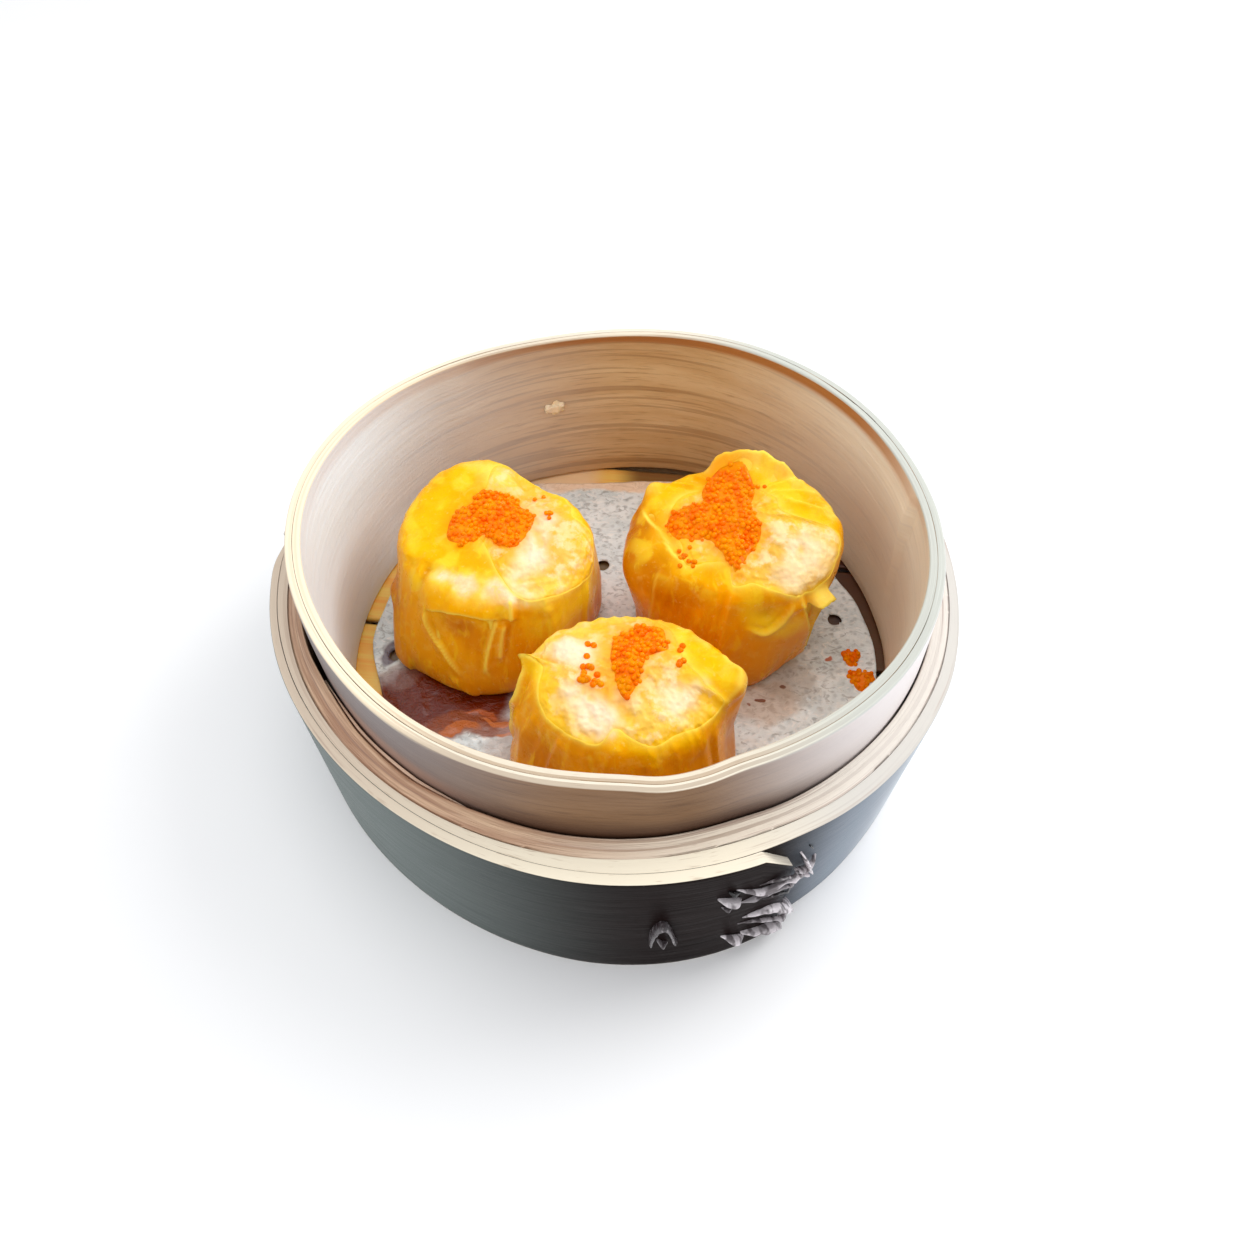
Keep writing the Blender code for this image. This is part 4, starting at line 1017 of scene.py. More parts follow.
DUMPLINGS = {
    "left": {
        "middle": (-29.0, 9.4), "lean": (3.0, 0.0), "height": 32.5, "seed": 1.0,
        "foot": ((180, 24.8), (-150, 26.6), (-130, 25.6), (-105, 25.8), (-81, 25.4), (-50, 24.6), (-20, 24.8),
                 (0, 25.4), (30, 24.6), (70, 23.6), (110, 23.6), (145, 24.0)),
        "brim": ((180, 23.2), (-150, 22.8), (-117, 22.6), (-96, 22.0), (-70, 22.6), (-47, 23.8), (-20, 23.6),
                 (0, 22.6), (25, 19.8), (49, 18.0), (70, 19.0), (91, 22.0), (112, 23.6), (130, 24.0),
                 (150, 23.4)),
        "rise": ((180, 0.3), (-117, -1.0), (-60, -2.2), (-20, -1.2), (25, -0.8), (60, -1.5), (91, 1.8),
                 (120, 2.6), (150, 1.2)),
        "edge": ((180, 0.93), (-130, 0.93), (-100, 0.90), (-84, 0.82), (-70, 0.70), (-57, 0.68), (-37, 0.63),
                 (-18, 0.58), (-5, 0.68), (5, 0.78), (20, 0.74), (40, 0.72), (73, 0.73), (90, 0.76),
                 (105, 0.88), (130, 0.93)),
        "folds": (                 # height, width on the sharp right and the soft left side, and the line
            (1.1, 0.45, 2.6, ((-132, 0.57), (-113, 0.63), (-98, 0.62), (-86, 0.61))),
            (1.0, 0.45, 1.6, ((-87, 0.61), (-90, 0.54), (-93, 0.46), (-94, 0.39))),
            (1.0, 0.45, 2.2, ((-104, 0.37), (-115, 0.45), (-123, 0.48), (-129, 0.52), (-131, 0.58))),
            (1.2, 0.60, 0.9, ((-86, 0.44), (-85, 0.51), (-83, 0.58))),
            (1.5, 0.90, 0.9, ((-79.5, 0.60), (-79.5, 0.72))),
            (-0.5, 0.90, 1.6, ((-142, 0.80), (-140, 0.72), (-138, 0.62), (-140, 0.50))),
            (0.5, 0.80, 2.0, ((-167, 0.68), (-156, 0.74), (-146, 0.79), (-134, 0.81))),
            (1.4, 2.0, 3.0, ((-156, 0.22), (-148, 0.25), (-140, 0.17))),
            (0.7, 0.50, 2.4, ((-112, 0.36), (-104, 0.28), (-98, 0.20))),
            (0.7, 0.60, 1.8, ((-60, 0.64), (-57, 0.50), (-60, 0.34))),
            (0.6, 0.60, 1.8, ((-30, 0.60), (-34, 0.44), (-32, 0.28)))),
        "dents": ((-108, 0.545, -0.8, 3.6), (-170, 0.45, 1.0, 3.0)),
        "roe_middle": (-29.0, 12.2),
        "roe_edge": ((-151, 9.2), (-137, 10.8), (-122, 10.4), (-104, 8.6), (-85, 6.6), (-75, 8.4),
                     (-66, 11.2), (-52, 12.6), (-40, 12.2), (-20, 12.0), (-4, 11.6), (12, 9.0), (34, 8.7),
                     (57, 7.2), (82, 6.4), (111, 5.5), (140, 3.6), (177, 6.4)),
        "top_colour_from": (0.50, 0.24),
        "tones": (                 # angle, share, width in millimetres, strength and tone
            ((-52, 0.53, 9.0, 1.0), (-32, 0.52, 9.0, 1.0), (-8, 0.50, 8.0, 0.9), "honey"),
            ((-165, 0.48, 7.0, 0.8), (178, 0.46, 6.0, 0.7), "amber"),
            ((-109, 0.545, 4.2, 0.8), (-100, 0.50, 3.2, 0.6), "brown"),
            ((-150, 0.92, 6.0, 0.8), (-112, 0.90, 6.0, 0.8), (-85, 0.89, 5.0, 0.7), (180, 0.93, 5.0, 0.5),
             "juice"),
            ((123, 0.82, 4.5, 0.8), (152, 0.83, 4.0, 0.7), (179, 0.80, 5.0, 0.6), (-160, 0.78, 5.0, 0.7),
             (11, 0.72, 4.0, 0.9), (31, 0.72, 4.0, 0.8), (-10, 0.69, 4.0, 0.9), (-17, 0.58, 3.5, 0.6),
             "yellow"),
            ((-128, 0.775, 3.8, 0.9), (-112, 0.78, 4.0, 1.0), (-94, 0.785, 4.0, 1.0), (-76, 0.78, 4.0, 0.9),
             (-60, 0.75, 4.5, 0.9), (-45, 0.69, 3.6, 0.7), (109, 0.76, 3.2, 0.8), (98, 0.81, 4.5, 0.9),
             (82, 0.84, 4.0, 0.8), (100, 0.88, 3.5, 0.6), "cream"),
            ((3, 0.89, 4.2, 0.9), (-30, 0.90, 4.2, 0.9), (-52, 0.86, 4.5, 0.9), (-71, 0.81, 4.2, 1.0),
             (-88, 0.78, 3.0, 0.8), (-79, 0.77, 2.8, 0.8), (-66, 0.75, 3.2, 0.8), (-108, 0.78, 2.6, 0.8),
             (-118, 0.78, 2.4, 0.8), (-130, 0.78, 2.2, 0.8), "white")),
    },
    "right": {
        "middle": (25.6, 6.4), "lean": (3.6, 0.5), "height": 35.2, "seed": 2.0,
        "foot": ((180, 21.4), (-150, 21.8), (-110, 22.8), (-79, 23.4), (-59, 22.4), (-44, 22.0), (-10, 20.6),
                 (30, 21.0), (90, 22.0), (140, 21.5)),
        "brim": ((180, 26.4), (-164, 27.0), (-140, 23.0), (-110, 20.6), (-80, 20.8), (-58, 22.8), (-37, 23.0),
                 (-15, 23.4), (10, 21.0), (45, 18.6), (70, 19.0), (95, 19.0), (115, 18.4), (140, 21.5),
                 (155, 24.4)),
        "rise": ((180, -3.0), (-150, -4.0), (-110, -3.5), (-70, -3.0), (-30, 0.0), (0, 1.4), (30, 1.6),
                 (60, 2.2), (90, 2.6), (120, 0.5), (150, -0.5)),
        "edge": ((180, 0.83), (-157, 0.84), (-140, 0.79), (-129, 0.82), (-109, 0.82), (-103, 0.74),
                 (-90, 0.76), (-76, 0.71), (-63, 0.66), (-46, 0.63), (-29, 0.67), (-20, 0.71), (-13, 0.88),
                 (20, 0.90), (90, 0.91), (135, 0.88), (155, 0.84)),
        "folds": (
            (1.3, 0.50, 2.6, ((-143, 0.79), (-157, 0.81), (-169, 0.82), (-183, 0.78), (-193, 0.73))),
            (1.0, 0.45, 1.0, ((-65, 0.64), (-68, 0.56), (-72, 0.52), (-79, 0.50), (-88, 0.52))),
            (1.4, 0.60, 3.0, ((-43, 0.25), (-44, 0.37), (-55, 0.52), (-62, 0.65))),
            (3.8, 0.90, 1.0, ((-55, 0.588), (-49, 0.585), (-42, 0.575))),
            (0.7, 0.50, 2.0, ((-104, 0.72), (-103, 0.50), (-104, 0.30))),
            (0.6, 0.60, 2.0, ((-122, 0.76), (-120, 0.55), (-124, 0.32))),
            (0.8, 0.60, 2.4, ((-150, 0.74), (-146, 0.52), (-150, 0.30))),
            (3.4, 0.90, 1.2, ((34, 0.77), (50, 0.80), (66, 0.795), (84, 0.815), (100, 0.80), (116, 0.78))),
            (0.8, 0.50, 0.9, ((10, 0.76), (20, 0.83), (30, 0.89))),
            (0.7, 0.50, 0.9, ((25, 0.75), (36, 0.83), (44, 0.90))),
            (0.8, 0.50, 1.0, ((-6, 0.78), (2, 0.84), (12, 0.88))),
            (0.7, 0.45, 0.8, ((128, 0.78), (126, 0.85))),
            (0.7, 0.45, 0.8, ((145, 0.76), (140, 0.84)))),
        "dents": ((150, 0.69, 1.8, 2.2), (-78, 0.58, -0.9, 3.2), (75, 0.775, -1.0, 1.6),
                  (92, 0.775, -1.0, 1.5), (78, 0.84, 1.6, 5.5), (58, 0.775, -0.9, 1.5),
                  (-165, 0.62, 0.8, 6.0)),
        "roe_middle": (24.7, 7.7),
        "roe_edge": ((-177, 12.8), (-162, 13.3), (-144, 10.9), (-124, 8.0), (-107, 9.0), (-92, 12.6),
                     (-86, 15.6), (-71, 12.6), (-55, 11.4), (-34, 9.6), (-14, 7.2), (11, 6.8), (28, 8.6),
                     (45, 10.1), (62, 11.9), (77, 11.6), (94, 10.9), (128, 7.2), (150, 5.5), (165, 8.7),
                     (174, 11.7)),
        "top_colour_from": (0.60, 0.18),
        "tones": (
            ((-180, 0.70, 6.0, 1.0), (168, 0.66, 5.0, 0.9), (-165, 0.66, 6.0, 1.0), (-154, 0.70, 5.0, 1.0),
             (-138, 0.62, 6.0, 0.9), (-124, 0.66, 4.0, 0.6), "amber"),
            ((-76, 0.53, 5.5, 0.8), (-62, 0.50, 4.0, 0.6), (-88, 0.62, 4.0, 0.5), "honey"),
            ((-105, 0.72, 5.0, 0.7), (-144, 0.84, 3.0, 0.8), (-120, 0.79, 3.0, 0.6), "juice"),
            ((56, 0.87, 4.0, 0.8), (16, 0.89, 4.5, 0.9), (-10, 0.86, 4.5, 0.9), (-22, 0.79, 4.0, 0.9),
             (-29, 0.93, 3.0, 0.6), (145, 0.74, 5.0, 0.8), (165, 0.80, 4.0, 0.7), (-166, 0.84, 2.4, 0.7),
             "yellow"),
            ((107, 0.76, 4.0, 0.9), (92, 0.79, 4.4, 0.9), (78, 0.79, 4.4, 0.9), (64, 0.78, 4.4, 0.9),
             (49, 0.78, 4.0, 0.8), (-48, 0.585, 3.4, 1.0), (-42, 0.57, 3.4, 1.0), (32, 0.78, 3.0, 0.7),
             (15, 0.76, 3.0, 0.7), (-2, 0.72, 3.0, 0.8), (150, 0.70, 2.6, 0.6), (-153, 0.87, 2.6, 0.7),
             (-160, 0.84, 2.4, 0.6), "cream"),
            ((-40, 0.80, 6.0, 0.7), (-60, 0.78, 5.0, 0.6), "white")),
    },
    "front": {
        "middle": (0.8, -32.6), "lean": (1.2, 0.8), "height": 32.0, "seed": 3.0,
        "foot": ((180, 24.8), (-155, 24.6), (-130, 22.8), (-90, 20.6), (-40, 22.8), (0, 23.6), (40, 22.0),
                 (90, 20.6), (140, 22.0), (160, 24.0)),
        "brim": ((180, 21.0), (168, 21.4), (150, 20.4), (125, 18.8), (95, 17.4), (59, 17.4), (38, 18.8),
                 (10, 22.0), (-4, 23.6), (-18, 20.6), (-45, 18.8), (-75, 17.6), (-112, 17.4), (-146, 19.0)),
        "rise": ((180, 0.0), (150, 0.5), (90, -0.8), (40, 0.0), (0, -1.0), (-30, -2.5), (-90, -2.0),
                 (-140, -1.5)),
        "edge": ((149, 0.68), (164, 0.67), (170, 0.77), (180, 0.76), (-163, 0.71), (-150, 0.71), (-131, 0.73),
                 (-116, 0.74), (-107, 0.82), (-89, 0.79), (-73, 0.75), (-54, 0.77), (-25, 0.71), (-17, 0.72),
                 (-10, 0.82), (10, 0.86), (30, 0.84), (46, 0.80), (75, 0.74), (120, 0.70)),
        "folds": (
            (1.3, 0.50, 2.4, ((173, 0.34), (175, 0.48), (179, 0.60), (170, 0.72))),
            (1.6, 0.80, 0.9, ((170, 0.77), (167, 0.71), (163, 0.66))),
            (0.7, 0.60, 2.0, ((-163, 0.66), (-165, 0.50), (-160, 0.34))),
            (0.6, 0.60, 1.6, ((-140, 0.68), (-143, 0.52), (-140, 0.34))),
            (0.9, 1.10, 2.0, ((-20, 0.71), (-8, 0.73), (4, 0.74), (16, 0.74))),
            (0.6, 0.60, 1.8, ((-30, 0.64), (-32, 0.48), (-28, 0.32))),
            (0.5, 0.60, 1.8, ((-78, 0.66), (-76, 0.50), (-80, 0.34)))),
        "dents": ((167, 0.71, 1.6, 1.8), (-175, 0.53, 2.0, 5.0), (-8, 0.44, -1.9, 7.0), (6, 0.54, -1.0, 5.0),
                  (-3, 0.735, 2.2, 3.2)),
        "roe_middle": (3.4, -26.6),
        "roe_edge": ((-150, 5.8), (-130, 6.9), (-115, 9.2), (-104, 11.0), (-96, 10.0), (-88, 7.4), (-74, 5.0),
                     (-46, 3.2), (-13, 4.5), (-2, 6.8), (24, 7.3), (42, 8.3), (61, 7.9), (78, 7.2), (97, 5.5),
                     (118, 5.8), (141, 5.7), (167, 5.0)),
        "top_colour_from": (0.68, 0.14),
        "tones": (
            ((-110, 0.34, 8.0, 1.0), (-75, 0.34, 8.0, 1.0), (-150, 0.50, 8.0, 1.0), (-40, 0.34, 7.0, 0.8),
             "amber"),
            ((173, 0.79, 3.2, 0.9), (-166, 0.80, 4.0, 0.9), (-148, 0.79, 3.0, 0.7), (-100, 0.80, 2.6, 0.6),
             (-86, 0.77, 3.0, 0.8), (-74, 0.75, 4.0, 0.9), (-50, 0.75, 4.0, 0.8), (-23, 0.73, 4.0, 0.8),
             (45, 0.82, 4.5, 0.9), (16, 0.82, 5.0, 0.95), (0, 0.79, 4.5, 0.9), (168, 0.72, 2.5, 0.7),
             "yellow"),
            ((-150, 0.90, 3.4, 0.9), (-165, 0.88, 2.4, 0.7), (-20, 0.88, 1.8, 0.6), (-58, 0.93, 2.0, 0.5),
             "juice"),
            ((29, 0.735, 2.2, 0.8), (6, 0.70, 2.4, 0.8), (-4, 0.68, 2.4, 0.7), (60, 0.72, 2.4, 0.7),
             (44, 0.72, 2.2, 0.7), (154, 0.74, 2.6, 0.7), (128, 0.77, 3.2, 0.8), (94, 0.72, 3.2, 0.8),
             (-84, 0.88, 3.0, 0.6), (-64, 0.85, 4.5, 0.4), (-46, 0.84, 4.0, 0.3), "cream"),
            ((-156, 0.84, 4.0, 0.8), (-131, 0.84, 4.6, 0.95), (-112, 0.83, 3.6, 0.9), (154, 0.83, 4.0, 0.9),
             (148, 0.87, 4.0, 0.9), (-30, 0.86, 4.0, 0.8), (-10, 0.84, 2.4, 0.7), (-92, 0.92, 3.0, 0.6),
             "white")),
    },
}


def round_of(dumpling, key, angle):
    """One of a dumpling's tables by angle."""
    places, values = zip(*dumpling[key])
    return smooth_through(places, values, angle, 360)


def eased(value):
    value = np.clip(value, 0.0, 1.0)
    return value * value * (3 - 2 * value)


def dough_skin(dumpling, angle, share):
    """The outside of a dumpling before its folds, in metres: share 0 is its foot's middle, 1 its top's."""
    steps = np.linspace(0, 1, len(ACROSS))
    across = np.maximum(smooth_through(steps, ACROSS, share), 0.0)
    upward = np.clip(smooth_through(steps, UPWARD, share), 0.0, 1.0)
    spread = eased((upward - 0.10) / 0.75)
    foot, brim = round_of(dumpling, "foot", angle), round_of(dumpling, "brim", angle)
    reach = across * (foot * (1 - spread) + brim * spread)
    tilt = round_of(dumpling, "rise", angle) * np.clip(upward / 0.9, 0, 1) ** 2 * np.clip(across / 0.8, 0, 1)
    turn = np.radians(angle)
    x = dumpling["middle"][0] + dumpling["lean"][0] * upward + reach * np.cos(turn)
    y = dumpling["middle"][1] + dumpling["lean"][1] * upward + reach * np.sin(turn)
    return np.stack([x, y, FOOT_HEIGHT + dumpling["height"] * upward + tilt], -1) * MM


def capped_faces(rows, columns):
    """The faces of a grid whose columns close up, with its first and last rows filled in."""
    last = (rows - 1) * columns
    caps = [list(reversed(range(columns))), list(range(last, last + columns))]
    return grid_faces(rows, columns).tolist() + caps


def grid_normals(points):
    """The way out at each point of a grid whose columns close up and whose rows go up."""
    round_way = np.roll(points, -1, 1) - np.roll(points, 1, 1)
    upward = np.gradient(points, axis=0)
    normals = np.cross(round_way, upward)
    return normals / np.maximum(np.linalg.norm(normals, axis=-1, keepdims=True), 1e-12)


CREASE = 0.45                      # half-width of the painted highlight along a raised fold's crest, and of the painted shade along a sunken one's


def fold_relief(dumpling, points, normals, height, sharp, soft, line):
    """A fold's height and its crest, which is painted as highlight on a raised fold and as shade on a sunken
    one. It falls off fast to the right of its line, and slowly to the left.
    """
    angles, shares = zip(*line)
    along = np.linspace(0, 1, 16)
    knots = np.linspace(0, 1, len(line))
    path = dough_skin(dumpling, smooth_through(knots, angles, along), smooth_through(knots, shares, along))
    nearest = np.full(points.shape[:-1], np.inf)
    on_left = np.zeros(points.shape[:-1], bool)
    place = np.zeros(points.shape[:-1])
    for i, (start, end) in enumerate(zip(path[:-1], path[1:])):
        run = end - start
        t = np.clip((points - start) @ run / (run @ run), 0, 1)
        off = points - start - t[..., None] * run
        gap = np.linalg.norm(off, axis=-1) / MM
        closer = gap < nearest
        nearest = np.where(closer, gap, nearest)
        on_left = np.where(closer, (np.cross(normals, run) * off).sum(-1) > 0, on_left)
        place = np.where(closer, (i + t) / (len(path) - 1), place)
    ends = eased(place / 0.18) * eased((1 - place) / 0.18) * 0.75 + 0.25
    hump = np.exp(-(nearest / np.where(on_left, soft, sharp)) ** 1.5)
    groove = np.where(on_left, 0.0, 0.30 * np.exp(-((nearest - 2.1 * sharp) / sharp) ** 2))
    crest = np.sign(height) * eased((abs(height) - 0.5) / 0.7) * ends * np.exp(-(nearest / CREASE) ** 2)
    return height * ends * (hump - groove), crest


def spot_relief(dumpling, points, angle, share, height, width):
    """A round bump or dent."""
    middle = dough_skin(dumpling, np.array(float(angle)), np.array(float(share)))
    return height * np.exp(-((np.linalg.norm(points - middle, axis=-1) / (width * MM)) ** 2))


def pleats(dumpling, angle, share, points):
    """The small upright gathers of the dough, which wander, and fade at the foot and over the top."""
    seed = dumpling["seed"] * 17.0
    turn = np.radians(angle) + 0 * share
    wander = 0.16 * noise_over(points * 60.0, seed)
    round_trip = np.stack([5.5 * np.cos(turn + wander), 5.5 * np.sin(turn + wander), 2.4 * share], -1)
    gathers = 1 - 2.4 * abs(noise_over(round_trip, seed))
    slack = noise_over(points * 95.0, seed + 4)
    crinkles = 1 - 2.6 * abs(noise_over(points * 240.0, seed + 8))
    strength = eased((share - 0.16) / 0.2) * eased((0.86 - share) / 0.14)
    return 0.28 * gathers * strength + 0.34 * slack + 0.09 * crinkles * eased((share - 0.45) / 0.2)


def lip_rise(dumpling, angle):
    """How far the dough's edge curls up off the filling, in millimetres."""
    turn = np.radians(angle)
    round_trip = np.stack([7 * np.cos(turn), 7 * np.sin(turn), 0 * turn], -1)
    return 0.15 + 0.40 * noise_over(round_trip, dumpling["seed"] * 5)


def dough_relief(dumpling, angle, share, skin, normals):
    """How far the dough stands off its plain shape, in millimetres, and its creases: painted highlight along
    raised folds, painted shade along sunken ones.
    """
    raised = pleats(dumpling, angle, share, skin)
    creases = 0 * raised
    for fold in dumpling["folds"]:
        rise, crest = fold_relief(dumpling, skin, normals, *fold)
        raised = raised + rise
        creases = np.where(abs(crest) > abs(creases), crest, creases)
    for dent in dumpling["dents"]:
        raised = raised + spot_relief(dumpling, skin, *dent)
    lift = eased((share - 0.10) / 0.06)
    return raised * lift, creases * lift


def hue_of(*screen):
    """A base colour to be carried by points, from what a screen shows."""
    return np.array(srgb(*screen)[:3])


# The dumplings' tones: the white and cream blots along the fronts of the tops are partly painted highlights
# and partly pale thin dough, the honey ones on the sides painted light, the brown ones painted shade in a
# dent, and the amber ones on the sides partly the dough's colour and partly painted shade; yellow and juice
# are the dough's and the roe's own colours.
TONES = {name: hue_of(*screen) for name, screen in (
    ("brown", (206, 112, 0)), ("amber", (202, 115, 0)), ("honey", (255, 216, 34)), ("juice", (255, 164, 0)),
    ("yellow", (250, 191, 0)), ("cream", (252, 216, 92)), ("white", (250, 230, 200)))}
# the dough's foot, side and top colours: darker towards the foot, partly its own colour and partly painted
# shade on the sides turned from the light
DOUGH_FOOT, DOUGH_SIDE = hue_of(216, 128, 0), hue_of(238, 156, 0)
DOUGH_TOP, LEMON = hue_of(250, 178, 0), hue_of(250, 214, 48)


def painted(dumpling, points, hue):
    """A base colour with the dumpling's blots of other tones over it, each with a ragged outline."""
    seed = dumpling["seed"] * 13.0
    ragged = np.stack([1.3 * noise_over(points * 240.0, seed + i) + 0.5 * noise_over(points * 800.0, seed + i)
                       for i in range(3)], -1) * MM
    for *blots, tone in dumpling["tones"]:
        for angle, share, width, strength in blots:
            middle = dough_skin(dumpling, np.array(float(angle)), np.array(float(share)))
            gap = np.linalg.norm(points + ragged - middle, axis=-1) / (width * MM)
            cover = (strength * (1 - eased((gap - 0.25) / 1.0)))[..., None]
            hue = hue * (1 - cover) + TONES[tone] * cover
    return hue


def juice(dumpling, points):
    """How much roe juice has run out round the roe: 1 at its edge, 0 a few millimetres away."""
    off = points[..., :2] / MM - dumpling["roe_middle"]
    edge = round_of(dumpling, "roe_edge", np.degrees(np.arctan2(off[..., 1], off[..., 0])))
    away = np.hypot(off[..., 0], off[..., 1]) - edge
    return np.clip(1 - away / 4.0, 0, 1) ** 1.5


amber_dough = new_finish("amber_dough", Coat_Weight=0.04, Coat_Roughness=0.08, Specular_IOR_Level=0.2,
                         Specular_Tint=(1.0, 0.72, 0.06, 1.0), Subsurface_Weight=0.08,
                         Subsurface_Radius=(1.0, 0.4, 0.05), Subsurface_Scale=0.002)
place = object_place(amber_dough)
hue = point_value(amber_dough, "hue", "Color")
pale_lip_and_fold_shading = point_value(amber_dough, "pale_lip_and_fold_shading")
relief = point_value(amber_dough, "relief")
wet = point_value(amber_dough, "juice")
mottle = cloud(place, 170.0, 5.0, 0.65)
streaks = cloud(scaled(place, 1.0, 1.0, 0.3), 420.0, 4.0, 0.6, 0.6)
specks = cloud(place, 900.0, 2.0, 0.6)
colour = tint(remap(mottle, 0.42, 0.70, 0.0, 0.40), hue, (232, 146, 0))
colour = tint(remap(streaks, 0.52, 0.70, 0.0, 0.35), colour, (255, 214, 40))
# painted shade: the dough is darker amber where its relief sinks in
colour = tint(remap(relief, -0.1, -0.9, 0.0, 0.6), colour, (190, 104, 0))
# the pale thin lip, painted highlight along raised fold crests, and painted shade along sunken ones
colour = tint(remap(pale_lip_and_fold_shading, 0.0, 1.0, 0.0, 0.9), colour, (252, 218, 84))
colour = tint(remap(pale_lip_and_fold_shading, 0.0, -1.0, 0.0, 0.8), colour, (158, 84, 0))
colour = tint(times(wet, 0.75), colour, (255, 160, 0))
patches = cloud(place, 300.0, 4.0, 0.65, 0.8)
colour = tint(remap(patches, 0.53, 0.68, 0.0, 0.16), colour, (255, 222, 110))
colour = tint(remap(specks, 0.62, 0.8, 0.0, 0.25), colour, (255, 236, 150))
paint(amber_dough, colour, remap(mottle, 0.3, 0.7, 0.22, 0.4), streaks, depth=0.00020)


def make_wrapper(side, dumpling):
    angle = np.linspace(-180, 180, WRAPPER_COLUMNS, endpoint=False)[None, :]
    edge = round_of(dumpling, "edge", angle)
    share = FOOT_SHARE + (edge - FOOT_SHARE) * np.linspace(0, 1, WRAPPER_ROWS)[:, None]
    skin = dough_skin(dumpling, angle + 0 * share, share)
    normals = grid_normals(skin)
    raised, creases = dough_relief(dumpling, angle, share, skin, normals)
    near_edge = np.exp(-(edge - share) * PROFILE_LENGTH / CURL_RUN)
    raised = raised + near_edge * lip_rise(dumpling, angle)
    outer = skin + normals * raised[..., None] * MM
    top, out = outer[-1], normals[-1]
    climb = outer[-1] - outer[-3]
    climb /= np.maximum(np.linalg.norm(climb, axis=-1, keepdims=True), 1e-9)
    half = WRAPPER * MM / 2
    arcs = [math.pi * i / LIP_STEPS for i in range(1, LIP_STEPS)]
    lip = [top - out * half * (1 - math.cos(a)) + climb * half * math.sin(a) for a in arcs]
    inner_rows = np.linspace(WRAPPER_ROWS - 1, 4, INNER_ROWS).astype(int)
    inner = outer[inner_rows] - normals[inner_rows] * 2 * half
    inner[-1, :, 2] = np.maximum(inner[-1, :, 2], (FOOT_HEIGHT + WRAPPER) * MM)
    points = np.concatenate([outer, lip, inner])
    faces = capped_faces(len(points), WRAPPER_COLUMNS)

    def all_rows(values):
        return np.concatenate([values, np.repeat(values[-1:], LIP_STEPS - 1, 0), values[inner_rows]])

    start, span = dumpling["top_colour_from"]
    # darker towards the foot: partly the dough's colour, partly painted shade
    lower = eased((share - 0.12) / 0.40)[..., None]
    upper = eased((share - start) / span)[..., None]
    sides = DOUGH_FOOT * (1 - lower) + DOUGH_SIDE * lower
    hue = painted(dumpling, skin, sides * (1 - upper) + DOUGH_TOP * upper)
    lemon = upper * (0.6 * eased((noise_over(skin * 210.0, dumpling["seed"] + 40) - 0.02) / 0.22))[..., None]
    hue = hue * (1 - lemon) + LEMON * lemon
    pale_edge = 0.7 * near_edge ** 1.5
    face_marks = {"hue": all_rows(hue), "relief": all_rows(raised), "juice": all_rows(juice(dumpling, skin)),
                  "pale_lip_and_fold_shading": all_rows(np.where(abs(creases) > pale_edge, creases, pale_edge))}
    return make_piece("dough_" + side, points, faces, amber_dough, face_marks)


wrappers = {}
for side, dumpling in DUMPLINGS.items():
    wrappers[side] = make_wrapper(side, dumpling)
    settle(wrappers[side], "wrapper", "wrapper_" + side)

# ---- The dumplings' fillings --------------------------------------------------------------------------
# A coarse paste of pale minced prawn and pork, set firm by the steam. It swells a little over the wrapper's
# edge, lumpy and moist, cream and faint pink, and stained yellow where the dough has bled into it.

FILLING_ROWS = 96
FILLING_COLUMNS = 260
TUCK = 0.06                        # how far its rows of points start under the dough's edge
TOP_SHARE = 0.997                  # and where they end

mince = new_finish("pale_mince", Coat_Weight=0.12, Coat_Roughness=0.15, Specular_IOR_Level=0.3,
                   Specular_Tint=(1.0, 0.85, 0.5, 1.0), Subsurface_Weight=0.1,
                   Subsurface_Radius=(1.0, 0.5, 0.2), Subsurface_Scale=0.002)
place = object_place(mince)
hue = point_value(mince, "hue", "Color")
stain = point_value(mince, "stain")
wet = point_value(mince, "juice")
relief = point_value(mince, "relief")
lumps = cloud(place, 300.0, 4.0, 0.6)
pink = cloud(place, 120.0, 3.0, 0.5)
colour = tint(remap(lumps, 0.46, 0.62, 0.0, 0.62), hue, (251, 229, 184))
colour = tint(remap(pink, 0.5, 0.75, 0.0, 0.45), colour, (244, 197, 98))
colour = tint(remap(relief, 0.1, -0.7, 0.0, 0.8), colour, (242, 184, 36))
colour = tint(stain, colour, (250, 196, 14))
colour = tint(times(wet, 0.6), colour, (255, 166, 10))
grit = node("TexVoronoi", {"Vector": place, "Scale": 900.0, "Smoothness": 0.6}, feature="SMOOTH_F1")
paint(mince, colour, remap(lumps, 0.3, 0.7, 0.3, 0.5), grit, depth=0.00022)


